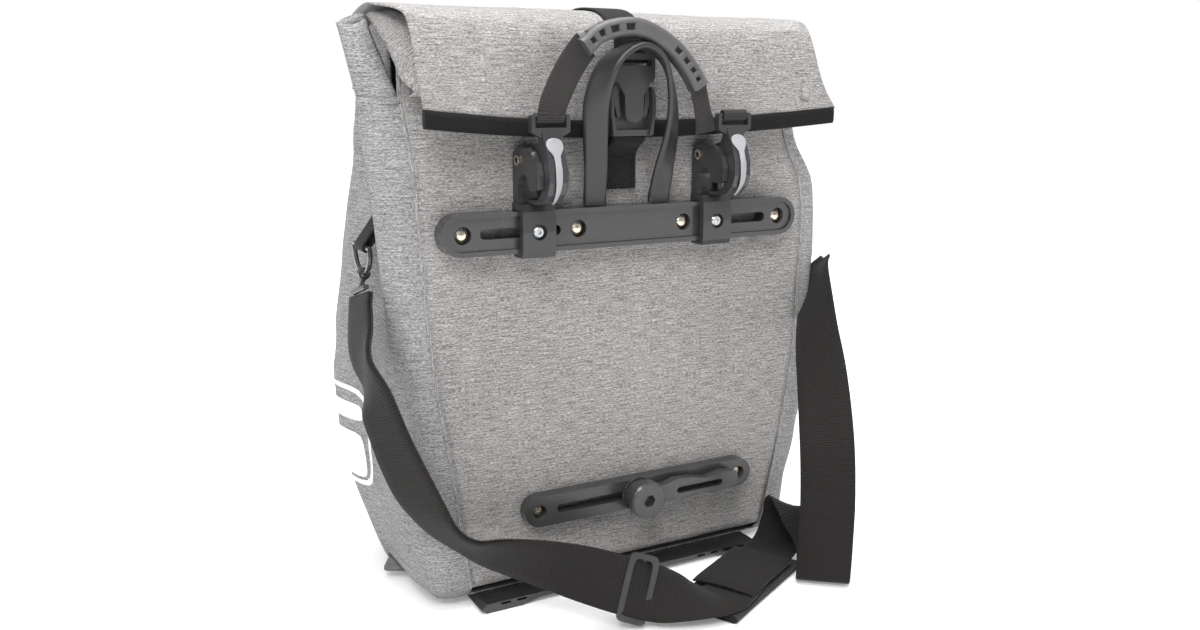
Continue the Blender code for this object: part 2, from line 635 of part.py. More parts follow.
def lever_pin(side, x):
    """Hollow brass pin with a small rolled rim at both ends."""
    reach = CHEEK[1] + 0.0012
    rim = CHEEK[1] + 0.0004
    rings = []
    for radius, at in ((0.0019, -reach), (0.0036, -reach), (0.0036, -rim), (0.0026, -rim),
                       (0.0026, rim), (0.0036, rim), (0.0036, reach), (0.0019, reach)):
        rings.append([place(x + at, a, b) for a, b in ring(LEVER_PIN, radius, 16)])
    add_piece(f"lever_pin_{side}", loft(rings, closed=True), "brass", place(x, *LEVER_PIN),
              round_angle=40)


# ---------------------------------------------------------------- handle and rubber loop
GRIP_Y = -0.0330
# the middle line of the grip as (x, z)
GRIP_LINE = [(-0.0490, 0.3745), (-0.0350, 0.3845), (-0.0105, 0.3878), (0.0130, 0.3778),
             (0.0280, 0.3640), (0.0368, 0.3515)]


def handle_grip():
    route = smooth_route([place(x, GRIP_Y, z) for x, z in GRIP_LINE], 3)
    rings = []
    for i, point in enumerate(route):
        ahead = (route[min(i + 1, len(route) - 1)] - route[max(i - 1, 0)]).normalized()
        up = Vector((0, -1, 0)).cross(ahead).normalized()
        rings.append([point + up * a + Vector((0, b, 0))
                      for a, b in rounded_box((0.0, 0.0), 0.0058, 0.0064, 0.0040, 3)])
    piece = add_piece("handle_grip", loft(rings), "grey_plastic", place(0.0, GRIP_Y, 0.380),
                      round_angle=50)
    notches = []
    for i in (2, 4, 11, 13):
        point = route[i]
        ahead = (route[i + 1] - route[i - 1]).normalized()
        up = Vector((0, -1, 0)).cross(ahead).normalized()
        corners = [point + ahead * a + up * b for a, b in
                   ((-0.0011, -0.0032), (0.0011, -0.0032), (0.0011, 0.0032), (-0.0011, 0.0032))]
        near = [c + Vector((0, -0.010, 0)) for c in corners]
        far = [c + Vector((0, -0.0045, 0)) for c in corners]
        notches.append(loft([near, far]))
    combine(piece, join_shapes(*notches), "DIFFERENCE", "grip_slots")


# each webbing's stations above the bar's loop: a point and the direction across it
WEBBING_ROUTES = {
    "left": [((-0.0725, -0.0376, 0.3366), (1.00, 0.00, 0.00)),
             ((-0.0690, -0.0372, 0.3455), (0.98, 0.00, -0.20)),
             ((-0.0595, -0.0345, 0.3610), (0.92, 0.00, -0.40)),
             ((-0.0508, -0.0330, 0.3722), (0.75, 0.00, -0.65))],
    "right": [((0.0650, -0.0378, 0.3375), (1.00, 0.00, 0.00)),
              ((0.0615, -0.0384, 0.3420), (0.94, -0.10, 0.30)),
              ((0.0525, -0.0370, 0.3455), (0.75, -0.55, 0.36)),
              ((0.0425, -0.0340, 0.3470), (0.55, -0.80, 0.25))],
}


def handle_webbing(side, x):
    """Webbing from a lever's bar up towards the grip, with its loop round the bar."""
    hook = arc(SLOT_BAR, 0.0030, 0, -180, 4)
    stations = [((x, hook[0][0], hook[0][1] + 0.0022), (1, 0, 0))]
    stations += [((x, y, z), (1, 0, 0)) for y, z in hook]
    shape = band(stations + WEBBING_ROUTES[side], 0.0190, 0.0014, 2)
    add_piece(f"handle_webbing_{side}", shape, "black_webbing", place(x, *SLOT_BAR))


def rubber_loop():
    """Flat rubber band standing up from the rail in an arch."""
    leg = RAIL_Z + RAIL_RADIUS + 0.0010
    stations = [((-0.0265, -0.0066, leg), (1, 0, 0)),
                ((-0.0267, -0.0072, leg + 0.0050), (1, 0, 0)),
                ((-0.0300, -0.0150, 0.2980), (1, -0.05, 0)),
                ((-0.0350, -0.0240, 0.3220), (0.96, -0.25, 0)),
                ((-0.0365, -0.0290, 0.3440), (0.80, -0.60, 0)),
                ((-0.0285, -0.0324, 0.3660), (0.45, -0.89, 0)),
                ((-0.0090, -0.0332, 0.3768), (0.05, -1.0, 0)),
                ((0.0092, -0.0324, 0.3690), (-0.35, -0.93, 0)),
                ((0.0190, -0.0290, 0.3480), (-0.62, -0.78, 0)),
                ((0.0225, -0.0240, 0.3240), (-0.80, -0.55, 0)),
                ((0.0220, -0.0155, 0.2980), (-0.94, -0.20, 0)),
                ((0.0232, -0.0072, leg + 0.0050), (-1, 0, 0)),
                ((0.0233, -0.0066, leg), (-1, 0, 0))]
    shape = band(stations, 0.0170, 0.0042, 3)
    add_piece("rubber_loop", shape, "black_rubber", place(0.0, -0.0068, leg), round_angle=60)


# ---------------------------------------------------------------- lower rail and hook
def lower_rail():
    face = -GAP - LOWER_RAIL_DEPTH
    centre = (LOWER_RAIL_X, LOWER_RAIL_Z)
    body = prism(stadium(centre, LOWER_RAIL_HALF, LOWER_RAIL_RADIUS), "Y", face, -GAP)
    piece = add_piece("lower_rail", body, "black_plastic", round_angle=40)
    slot = prism(stadium(centre, 0.0700, 0.0034, 5), "Y", face - 0.002, 0.002)
    combine(piece, slot, "DIFFERENCE", "slot")
    ends = (LOWER_RAIL_X - 0.083, LOWER_RAIL_X + 0.083)
    bores = [prism(ring((x, LOWER_RAIL_Z), 0.0050, 16), "Y", face - 0.002, -0.0035) for x in ends]
    combine(piece, join_shapes(*bores), "DIFFERENCE", "screw_seats")
    for number, x in enumerate(ends, 1):
        profile = [(0.0, -0.0062), (0.0026, -0.0062), (0.0044, -0.0052), (0.0046, -0.0038),
                   (0.0, -0.0038)]
        screw = add_piece(f"lower_rail_screw_{number}", turned(profile, (x, LOWER_RAIL_Z), 16),
                          "brass", round_angle=40)
        socket = prism(ring((x, LOWER_RAIL_Z), 0.0016, 6), "Y", -0.008, -0.0050)
        combine(screw, socket, "DIFFERENCE", "socket")


def lower_carriage():
    face = -GAP - LOWER_RAIL_DEPTH
    front = face - GAP
    pivot = place(KNOB_X, front, LOWER_RAIL_Z)
    profile = [(0.0, front - 0.0100), (0.0030, front - 0.0100), (0.0030, front - 0.0024),
               (0.0125, front - 0.0024), (0.0130, front - 0.0014), (0.0125, front),
               (0.0030, front), (0.0030, -0.0020), (0.0, -0.0020)]
    shape = turned(profile, (KNOB_X, LOWER_RAIL_Z), 24)
    add_piece("lower_carriage", shape, "black_plastic", pivot, round_angle=40)


def lower_hook():
    """Anti-sway arm on the carriage's bolt: a round eye and a wavy, slotted finger."""
    near = -GAP - LOWER_RAIL_DEPTH - GAP - 0.0024 - GAP
    x, z = KNOB_X, LOWER_RAIL_Z
    eye = arc((x, z), 0.0115, 40, 320, 12)
    lower = [(x + 0.0200, z - 0.0048), (x + 0.0320, z - 0.0062), (x + 0.0460, z - 0.0052),
             (x + 0.0600, z - 0.0078), (x + 0.0700, z - 0.0062)]
    tip = arc((x + 0.0760, z + 0.0010), 0.0060, -80, 80, 6)
    upper = [(x + 0.0680, z + 0.0078), (x + 0.0540, z + 0.0052), (x + 0.0420, z + 0.0078),
             (x + 0.0280, z + 0.0088), (x + 0.0180, z + 0.0062)]
    outline = eye + lower + tip + upper
    piece = add_piece("lower_hook", prism(outline, "Y", near - 0.0068, near), "black_plastic",
                      place(x, near, z), round_angle=40)
    bore = prism(ring((x, z), 0.0034, 16), "Y", near - 0.010, near + 0.003)
    combine(piece, bore, "DIFFERENCE", "eye")
    slot = prism(stadium((x + 0.0480, z), 0.0200, 0.0024, 4), "Y", near - 0.010, near + 0.003)
    combine(piece, slot, "DIFFERENCE", "finger_slot")


def lower_knob():
    far = -GAP - LOWER_RAIL_DEPTH - GAP - 0.0024 - GAP - 0.0068 - GAP
    x, z = KNOB_X, LOWER_RAIL_Z
    profile = [(0.0, far - 0.0078), (0.0125, far - 0.0078), (0.0138, far - 0.0066),
               (0.0138, far - 0.0014), (0.0128, far), (0.0, far)]
    piece = add_piece("lower_knob", turned(profile, (x, z), 24), "grey_plastic",
                      place(x, far, z), round_angle=40)
    socket = prism(ring((x, z), 0.0048, 6), "Y", far - 0.010, far - 0.0030)
    combine(piece, socket, "DIFFERENCE", "hex_socket")
    seat = prism(ring((x, z), 0.0034, 16), "Y", far - 0.0012, far + 0.002)
    combine(piece, seat, "DIFFERENCE", "bolt_seat")


# ---------------------------------------------------------------- rings and shoulder strap
def ring_hardware(side, sign):
    """Sewn tab and D-ring at the side of the bag."""
    x, y, z = RING_PLACE
    tab = box((x - 0.0035, y - 0.0190, z), (x - 0.0020, y + 0.0190, z + 0.0200))
    bmesh.ops.scale(tab, verts=tab.verts[:], vec=(sign, 1, 1))
    add_piece(f"ring_tab_{side}", tab, "black_webbing")
    flat = [(0.0180, 0.0), (-0.0180, 0.0)]
    bow = [(0.0185 * math.cos(math.radians(a)), -0.0005 + 0.0175 * math.sin(math.radians(a)))
           for a in range(195, 350, 15)]
    line = [place(sign * (x + 0.0002), y + a, z - 0.0030 + b) for a, b in flat + bow]
    add_piece(f"d_ring_{side}", rod(line, 0.0017, 6, closed=True), "black_plastic")


def snap_hook(side, sign, end, inner):
    """Hook on a D-ring's bow, with the bar that the strap's end folds round."""
    x, y, z = sign * RING_PLACE[0], RING_PLACE[1], RING_PLACE[2] - 0.0210
    eye = prism(ring((x, z), 0.0040, 12), "Y", y - 0.0025, y + 0.0025)
    piece = add_piece(f"snap_hook_{side}", eye, "inlay_grey", round_angle=40)
    bore = prism(ring((x, z), 0.0024, 12), "Y", y - 0.01, y + 0.01)
    combine(piece, bore, "DIFFERENCE", "hook_bore")
    point = place(*end[0])
    out = (point - place(*inner[0])).normalized()
    flat = out.cross(Vector(end[1])).normalized()
    along = flat.cross(out).normalized()
    middle = point + out * 0.0030
    corners = [flat * a + out * b for a, b in rounded_box((0.0, 0.0), 0.0019, 0.0016, 0.0008, 1)]
    bar = loft([[middle + along * reach + c for c in corners] for reach in (-0.0120, 0.0120)])
    combine(piece, bar, "UNION", "strap_bar")
    stem = rod([place(x, y - 0.0005, z - 0.0034), middle], 0.0016, 8)
    combine(piece, stem, "UNION", "stem")


# stations of the left strap: a point on its middle, and the direction across it
LEFT_STRAP = [
    ((-0.1775, 0.0330, 0.2200), (-0.05, 0.98, -0.10)),
    ((-0.1800, 0.0285, 0.2070), (-0.05, 0.98, -0.14)),
    ((-0.1835, 0.0150, 0.1910), (-0.05, 0.98, -0.18)),
    ((-0.1850, -0.0020, 0.1750), (0.10, 0.97, -0.22)),
    ((-0.1835, -0.0160, 0.1580), (-0.27, 0.91, -0.30)),
    ((-0.1780, -0.0220, 0.1370), (-0.33, 0.87, -0.36)),
    ((-0.1700, -0.0240, 0.1150), (-0.39, 0.85, -0.35)),
    ((-0.1600, -0.0230, 0.0930), (-0.36, 0.86, -0.38)),
    ((-0.1470, -0.0240, 0.0720), (-0.05, 0.87, -0.50)),
    ((-0.1290, -0.0310, 0.0580), (0.38, 0.62, -0.68)),
    ((-0.1060, -0.0400, 0.0510), (0.27, 0.40, -0.87)),
    ((-0.0820, -0.0520, 0.0450), (0.05, 0.20, -0.98)),
    ((-0.0600, -0.0620, 0.0380), (-0.20, -0.05, -0.97)),
    ((-0.0400, -0.0690, 0.0300), (-0.35, -0.25, -0.90)),
]
MIDDLE_STRAP = [
    ((-0.0185, -0.0745, 0.0215), (-0.52, -0.36, -0.76)),
    ((-0.0020, -0.0790, 0.0170), (-0.60, -0.66, -0.44)),
    ((0.0140, -0.0825, 0.0125), (-0.50, -0.85, -0.12)),
    ((0.0300, -0.0820, 0.0085), (-0.10, -0.99, 0.0)),
    ((0.0450, -0.0740, 0.0078), (0.30, -0.95, 0.0)),
]
RIGHT_STRAP = [
    ((0.0900, -0.0450, 0.0080), (0.48, -0.88, 0.0)),
    ((0.1080, -0.0350, 0.0084), (0.48, -0.88, 0.0)),
    ((0.1220, -0.0280, 0.0130), (0.50, -0.86, 0.0)),
    ((0.1300, -0.0245, 0.0250), (0.52, -0.85, 0.0)),
    ((0.1300, -0.0290, 0.0370), (0.56, -0.83, 0.0)),
    ((0.1300, -0.0430, 0.0400), (0.62, -0.78, 0.0)),
    ((0.1315, -0.0570, 0.0320), (0.70, -0.71, 0.0)),
    ((0.1290, -0.0700, 0.0190), (0.76, -0.65, 0.0)),
    ((0.1229, -0.0785, 0.0072), (0.77, -0.64, 0.0)),
    ((0.1189, -0.0833, 0.0030), (0.77, -0.64, 0.0)),
    ((0.1160, -0.0868, 0.0052), (0.77, -0.64, 0.0)),
    ((0.1152, -0.0882, 0.0110), (0.77, -0.64, 0.0)),
    ((0.1150, -0.0892, 0.0350), (0.77, -0.64, 0.0)),
    ((0.1153, -0.0890, 0.0680), (0.77, -0.64, 0.08)),
    ((0.1185, -0.0820, 0.1050), (0.72, -0.69, 0.08)),
    ((0.1320, -0.0580, 0.1440), (0.48, -0.86, 0.14)),
    ((0.1480, -0.0300, 0.1740), (0.13, -0.98, 0.18)),
    ((0.1690, 0.0000, 0.2030), (-0.20, -0.96, 0.16)),
    ((0.1785, 0.0150, 0.2120), (-0.10, -0.98, 0.10)),
]


def shoulder_strap():
    add_piece("strap_left", band(LEFT_STRAP, STRAP_WIDTH, 0.0034, 2), "black_webbing")
    add_piece("strap_middle", band(MIDDLE_STRAP, STRAP_WIDTH, 0.0018, 2), "black_webbing")
    add_piece("strap_right", band(RIGHT_STRAP, STRAP_WIDTH, 0.0018, 2), "black_webbing")


def strap_slider():
    """Three-bar slider that sets the strap's length, as one plain block."""
    end, side = LEFT_STRAP[-1]
    start, _ = MIDDLE_STRAP[0]
    inner = [(Vector(end) * (1 - t) + Vector(start) * t, side) for t in (0.08, 0.5, 0.86)]
    add_piece("strap_slider", band(inner, STRAP_WIDTH + 0.007, 0.0055, 1), "black_plastic")


def shoulder_pad():
    """Curled pad on the strap, lying on the floor."""
    stations = [((0.0180, -0.0820, 0.0034), (0.48, -0.88, 0.0)),
                ((0.0480, -0.0660, 0.0032), (0.48, -0.88, 0.0)),
                ((0.0780, -0.0505, 0.0032), (0.48, -0.88, 0.0)),
                ((0.1080, -0.0350, 0.0034), (0.48, -0.88, 0.0))]
    add_piece("shoulder_pad", band(stations, 0.049, 0.0055, 2), "black_webbing")


# ---------------------------------------------------------------- build
def build():
    clear_scene()
    gusset("gusset_left", -1)
    gusset("gusset_right", 1)
    outer_panel()
    back_panel()
    stiffener_board()
    bottom_panel()
    base_runners()
    roll_flap()
    flap_binding()
    flap_tucks()
    closure_strap()
    buckle_female()
    buckle_male()
    buckle_webbing()
    top_rail()
    rail_rivets()
    for side, x in HOOK_X.items():
        hook_body(side, x)
        clip_screw(side, x)
        tube_insert(side, x)
        lever(side, x)
        lever_inlay(side, x)
        lever_pin(side, x)
        handle_webbing(side, x)
    handle_grip()
    rubber_loop()
    lower_rail()
    lower_carriage()
    lower_hook()
    lower_knob()
    for side, sign in (("left", -1), ("right", 1)):
        ring_hardware(side, sign)
    snap_hook("left", -1, LEFT_STRAP[0], LEFT_STRAP[1])
    snap_hook("right", 1, RIGHT_STRAP[-1], RIGHT_STRAP[-2])
    shoulder_strap()
    strap_slider()
    shoulder_pad()


build()
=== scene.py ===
"""Pannier bag: the visual model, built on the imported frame."""
import math

import bmesh
import bpy
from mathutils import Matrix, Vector, noise


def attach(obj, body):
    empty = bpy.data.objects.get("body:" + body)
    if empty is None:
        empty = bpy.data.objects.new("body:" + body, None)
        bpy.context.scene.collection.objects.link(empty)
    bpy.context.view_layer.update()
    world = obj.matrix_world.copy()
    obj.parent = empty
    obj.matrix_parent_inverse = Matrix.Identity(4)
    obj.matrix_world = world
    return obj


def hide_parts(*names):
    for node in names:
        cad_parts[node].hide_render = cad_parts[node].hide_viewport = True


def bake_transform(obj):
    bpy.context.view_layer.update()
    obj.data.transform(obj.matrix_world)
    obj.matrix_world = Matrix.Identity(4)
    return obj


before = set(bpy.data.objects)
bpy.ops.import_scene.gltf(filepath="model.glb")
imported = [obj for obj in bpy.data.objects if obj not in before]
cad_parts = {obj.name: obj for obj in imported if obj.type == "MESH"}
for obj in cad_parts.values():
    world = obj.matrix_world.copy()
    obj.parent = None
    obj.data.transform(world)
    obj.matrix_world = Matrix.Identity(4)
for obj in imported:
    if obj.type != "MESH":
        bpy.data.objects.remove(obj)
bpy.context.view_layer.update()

SIDES = {"left": -1, "right": 1}
BACK_Y = -0.0491            # world y of the back panel's rack-side face
STRAP_WIDTH = 0.038
CLOSURE_X = -0.005          # middle of the buckle and of the webbings on its line
CLOSURE_WIDTH = 0.025
RAIL_Z = 0.2595             # middle of the top rail
RAIL_HALF = 0.01365
CLOTH = 0.0012              # coated fabric of the body and the flap
FOLDED = 0.0011             # the same fabric where it lies folded in the roll
ACROSS = (1, 0, 0)
REARWARD = (0, 1, 0)        # away from the rack
RACKWARD = (0, -1, 0)
WHITE = (1, 1, 1, 1)


def place(x, y, z):
    """World point of a point measured from the back panel's face."""
    return Vector((x, BACK_Y + y, z))


# ---------------------------------------------------------------- camera, light and floor
def add_camera():
    data = bpy.data.cameras.new("camera")
    data.lens = 31.5
    data.sensor_width = 36.0
    data.clip_start = 0.01
    camera = bpy.data.objects.new("camera", data)
    camera.location = (-0.3563, -0.6762, 0.3457)
    camera.rotation_euler = (math.radians(90 - 11.81), 0, math.radians(-28.28))
    bpy.context.scene.collection.objects.link(camera)
    bpy.context.scene.camera = camera


def add_light(name, place_at, aim, size, power):
    data = bpy.data.lights.new(name, "AREA")
    data.shape = "RECTANGLE"
    data.size, data.size_y = size
    data.energy = power
    light = bpy.data.objects.new(name, data)
    light.location = place_at
    direction = Vector(aim) - Vector(place_at)
    light.rotation_euler = direction.to_track_quat("-Z", "Y").to_euler()
    bpy.context.scene.collection.objects.link(light)


def add_studio():
    scene = bpy.context.scene
    scene.view_settings.view_transform = "Standard"
    g = Graph(bpy.data.worlds.new("studio"), "Background")
    # the backdrop shows pure white, while the light it gives comes softly from above
    height = g.node("ShaderNodeSeparateXYZ", {"Vector": g.coordinates("Generated")}).outputs["Z"]
    dome = g.remap(height, -0.05, 0.75, 0.2, 0.8)
    seen = g.node("ShaderNodeLightPath").outputs["Is Camera Ray"]
    level = g.node("ShaderNodeMix", {"Factor": seen, "A": dome, "B": 1}).outputs["Result"]
    scene.world = g.feed(Color=WHITE, Strength=level)
    add_light("key", (-0.75, -1.05, 1.35), (0, 0, 0.2), (0.7, 0.7), 20)
    add_light("top", (0.05, -0.05, 1.6), (0, 0, 0.2), (1, 0.8), 24)
    add_light("side", (1.3, -0.55, 0.8), (0, 0, 0.2), (0.8, 1), 2.5)


# ---------------------------------------------------------------- node materials
class Graph:
    """The nodes of a material or a world, and short ways to add and join them."""

    def __init__(self, owner, shader="Principled BSDF"):
        owner.use_nodes = True
        self.owner, self.tree = owner, owner.node_tree
        self.shader = self.tree.nodes[shader]

    def node(self, kind, inputs=None, **settings):
        made = self.tree.nodes.new(kind)
        for key, value in settings.items():
            setattr(made, key, value)
        for key, value in (inputs or {}).items():
            if isinstance(value, bpy.types.NodeSocket):
                self.tree.links.new(value, made.inputs[key])
            else:
                made.inputs[key].default_value = value
        return made

    def coordinates(self, kind):
        return self.node("ShaderNodeTexCoord").outputs[kind]

    def noise(self, coordinates, scale, detail=2.0, rough=0.5):
        """Noise with its own scale along each axis."""
        mapping = self.node("ShaderNodeMapping", {"Vector": coordinates})
        mapping.inputs["Scale"].default_value = scale
        made = self.node("ShaderNodeTexNoise", {"Vector": mapping.outputs["Vector"], "Scale": 1,
                                                "Detail": detail, "Roughness": rough})
        return made.outputs["Fac"]

    def wave(self, vector, scale, distortion, direction, **detail):
        inputs = {"Vector": vector, "Scale": scale, "Distortion": distortion}
        inputs.update({key.replace("_", " "): value for key, value in detail.items()})
        return self.node("ShaderNodeTexWave", inputs, bands_direction=direction).outputs["Fac"]

    def remap(self, value, low, high, new_low, new_high):
        return self.node("ShaderNodeMapRange", {"Value": value, "From Min": low, "From Max": high,
                                                "To Min": new_low, "To Max": new_high}
                         ).outputs["Result"]

    def math(self, operation, a, b):
        return self.node("ShaderNodeMath", {0: a, 1: b}, operation=operation).outputs[0]

    def weighted(self, *parts):
        """Sum of sockets, each times its weight."""
        total, *others = [self.math("MULTIPLY", socket, weight) for socket, weight in parts]
        for part in others:
            total = self.math("ADD", total, part)
        return total

    def ramp(self, factor, stops):
        made = self.node("ShaderNodeValToRGB", {"Fac": factor})
        while len(made.color_ramp.elements) < len(stops):
            made.color_ramp.elements.new(0.5)
        for element, (position, colour) in zip(made.color_ramp.elements, stops):
            element.position = position
            element.color = (*colour, 1)
        return made.outputs["Color"]

    def bump(self, height, strength, distance):
        return self.node("ShaderNodeBump", {"Height": height, "Strength": strength,
                                            "Distance": distance}).outputs["Normal"]

    def feed(self, **sockets):
        """Set the shader's inputs; an underscore stands for a space in their names."""
        for key, value in sockets.items():
            socket = self.shader.inputs[key.replace("_", " ")]
            if isinstance(value, bpy.types.NodeSocket):
                self.tree.links.new(value, socket)
            else:
                socket.default_value = value
        return self.owner


def heather_fabric(name, painted_shade=1.0, cool=0.0):
    """Coated heathered polyester: short pale and dark slubs along the weft."""
    g = Graph(bpy.data.materials.new(name))
    uv = g.coordinates("UV")
    slub = g.noise(uv, (70, 1000, 1), 3, 0.7)
    fleck = g.noise(uv, (430, 1500, 1), 1)
    warp = g.noise(uv, (1800, 620, 1), 1)
    cloud = g.noise(uv, (7, 11, 1))
    mixed = g.weighted((slub, 0.38), (fleck, 0.34), (warp, 0.22), (cloud, 0.06))
    # A shade below 1 and a cool tone give a darker, cooler copy of the fabric: painted shade for the
    # walls turned from the light.
    tone = (1.0 - 0.02 * cool, 0.97, 0.945 + 0.035 * cool)
    stops = [(0.36, 0.07), (0.45, 0.19), (0.54, 0.34), (0.65, 0.56)]
    colours = [(at, tuple(painted_shade * value * c for c in tone)) for at, value in stops]
    weft = g.wave(uv, 520, 1.5, "Y", Detail_Scale=3)
    height = g.weighted((weft, 0.5), (mixed, 1))
    return g.feed(Base_Color=g.ramp(mixed, colours), Roughness=0.86, Specular_IOR_Level=0.2,
                  Sheen_Weight=0.08, Sheen_Roughness=0.5, Normal=g.bump(height, 0.55, 0.0004))


def lining_fabric(name):
    g = Graph(bpy.data.materials.new(name))
    grain = g.noise(g.coordinates("UV"), (220, 220, 1), 3, 0.6)
    colour = g.ramp(grain, [(0.3, (0.1, 0.1, 0.1)), (0.7, (0.17, 0.17, 0.168))])
    return g.feed(Base_Color=colour, Roughness=0.45, Normal=g.bump(grain, 0.3, 0.0004))


def webbing(name, colour, rib=230.0, sheen=0.2):
    """Ribbed webbing: cross ribs along U, with a finer lengthwise warp along V."""
    g = Graph(bpy.data.materials.new(name))
    uv = g.coordinates("UV")
    ribs = g.wave(uv, rib, 0.6, "X", Detail=1, Detail_Scale=4)
    warp = g.wave(uv, 330, 0.4, "Y")
    fuzz = g.noise(uv, (900, 900, 1), 2, 0.6)
    height = g.weighted((ribs, 0.8), (warp, 0.35))
    value = g.weighted((height, 0.6), (fuzz, 0.45))
    low = tuple(0.55 * c for c in colour)
    high = tuple(min(1, 1.9 * c) for c in colour)
    return g.feed(Base_Color=g.ramp(value, [(0.25, low), (0.6, colour), (1, high)]),
                  Roughness=0.78, Specular_IOR_Level=0.22, Sheen_Weight=0.4 * sheen,
                  Sheen_Roughness=0.4, Normal=g.bump(height, 0.75, 0.00035))


def grained(name, colour, tones, fine, broad, gloss, grain, **settings):
    """Fine grain in the surface under broad, uneven tone and gloss."""
    g = Graph(bpy.data.materials.new(name))
    at = g.coordinates("Object")
    fine_noise = g.noise(at, (fine[0],) * 3, 2, fine[1])
    broad_noise = g.noise(at, (broad[0],) * 3, *broad[1:])
    low, high = (tuple(tone * c for c in colour) for tone in tones)
    return g.feed(Base_Color=g.ramp(broad_noise, [(0.35, low), (0.65, high)]),
                  Roughness=g.remap(broad_noise, 0.3, 0.7, *gloss),
                  Normal=g.bump(fine_noise, grain, 0.0001), **settings)


def moulded(name, colour, rough, grain=0.15, coat=0.0, scale=1400.0):
    """Moulded plastic or rubber with fine spark-eroded grain."""
    return grained(name, colour, (0.92, 1.08), (scale, 0.5), (60, 3, 0.6),
                   (rough - 0.02, rough + 0.04), grain, Coat_Weight=coat, Coat_Roughness=0.15)


def metal(name, colour, rough):
    return grained(name, colour, (0.8, 1), (900, 0.6), (150, 2, 0.5),
                   (rough - 0.05, rough + 0.1), 0.08, Metallic=1.0)


def make_materials():
    return {
        "fabric": heather_fabric("heather_fabric"),
        # The walls round the sides, front and base, their seams and stitches and the roll's ends wear
        # this darker, cooler copy: painted shade.
        "side": heather_fabric("heather_side_painted_shade", 0.94, 1),
        "lining": lining_fabric("lining"),
        "binding": webbing("binding_weave", (0.006, 0.006, 0.006), 420, 0.1),
        "black_webbing": webbing("webbing_black", (0.009, 0.0086, 0.0083)),
        "strap": webbing("webbing_strap", (0.011, 0.0098, 0.0092), 190),
        "brown_webbing": webbing("webbing_brown", (0.026, 0.0245, 0.0238), 260, 0.2),
        "rail": moulded("plastic_rail", (0.03, 0.029, 0.03), 0.24, 0.06, 0.45),
        "buckle": moulded("plastic_buckle", (0.038, 0.038, 0.039), 0.3, 0.1, 0.15),
        "hook": moulded("plastic_hook", (0.028, 0.028, 0.03), 0.34, 0.12, 0.15),
        "grip": moulded("plastic_grip", (0.078, 0.076, 0.079), 0.46, 0.18),
        "hole": moulded("plastic_hole", (0.01, 0.01, 0.01), 0.6),
        "rubber": moulded("rubber_loop", (0.02, 0.02, 0.0212), 0.4, 0.2, 0, 900),
        "inlay": moulded("plastic_inlay", (0.3, 0.292, 0.31), 0.36, 0.08),
        "print": moulded("reflective_print", (0.74, 0.75, 0.78), 0.32, 0.1),
        "pad": webbing("pad_mesh", (0.016, 0.0155, 0.0155), 600),
        "thread": webbing("thread", (0.045, 0.043, 0.041), 500),
        "brass": metal("brass_rivet", (0.8, 0.71, 0.58), 0.26),
        "zinc": metal("zinc_screw", (0.58, 0.6, 0.61), 0.28),
        "board": moulded("board_plastic", (0.12, 0.12, 0.12), 0.55),
    }


MATERIALS = make_materials()


# ---------------------------------------------------------------- shape helpers
def curve_at(table, x):
    """Smooth value between the rows of a table of (x, value)."""
    count = len(table)
    i = 0
    while i < count - 2 and x > table[i + 1][0]:
        i += 1
    (x0, y0), (x1, y1) = table[i], table[i + 1]
    before, after = table[max(i - 1, 0)], table[min(i + 2, count - 1)]
    slope0 = (y1 - before[1]) / (x1 - before[0])
    slope1 = (after[1] - y0) / (after[0] - x0)
    t = min(max((x - x0) / (x1 - x0), 0), 1)
    span = x1 - x0
    return ((2 * t ** 3 - 3 * t ** 2 + 1) * y0 + (t ** 3 - 2 * t ** 2 + t) * span * slope0
            + (-2 * t ** 3 + 3 * t ** 2) * y1 + (t ** 3 - t ** 2) * span * slope1)


def smooth_route(points, steps):
    """Points along a Catmull-Rom curve through the given vectors."""
    points = [Vector(p) for p in points]
    ends = [2 * points[0] - points[1]] + points + [2 * points[-1] - points[-2]]
    route = []
    for a, b, c, d in zip(ends, ends[1:], ends[2:], ends[3:]):
        for k in range(steps):
            t = k / steps
            route.append(0.5 * (2 * b + (c - a) * t + (2 * a - 5 * b + 4 * c - d) * t * t
                                + (3 * b - a - 3 * c + d) * t ** 3))
    return route + [points[-1]]


def lengths_along(route):
    total = [0.0]
    for a, b in zip(route, route[1:]):
        total.append(total[-1] + (b - a).length)
    return total


def bump_at(value, centre, width):
    return math.exp(-((value - centre) / width) ** 2)


def ramp_up(value, low, high):
    t = min(max((value - low) / (high - low), 0), 1)
    return t * t * (3 - 2 * t)


def squareness(a, power):
    """Radius of a unit circle drawn out towards a square, at an angle."""
    return (abs(math.cos(a)) ** power + abs(math.sin(a)) ** power) ** (-1 / power)


def finish_mesh(name, mesh, materials, angle=None):
    for key in materials:
        mesh.materials.append(MATERIALS[key])
    mesh.shade_smooth()
    if angle:
        mesh.set_sharp_from_angle(angle=math.radians(angle))
    piece = bpy.data.objects.new(name, mesh)
    bpy.context.scene.collection.objects.link(piece)
    return piece


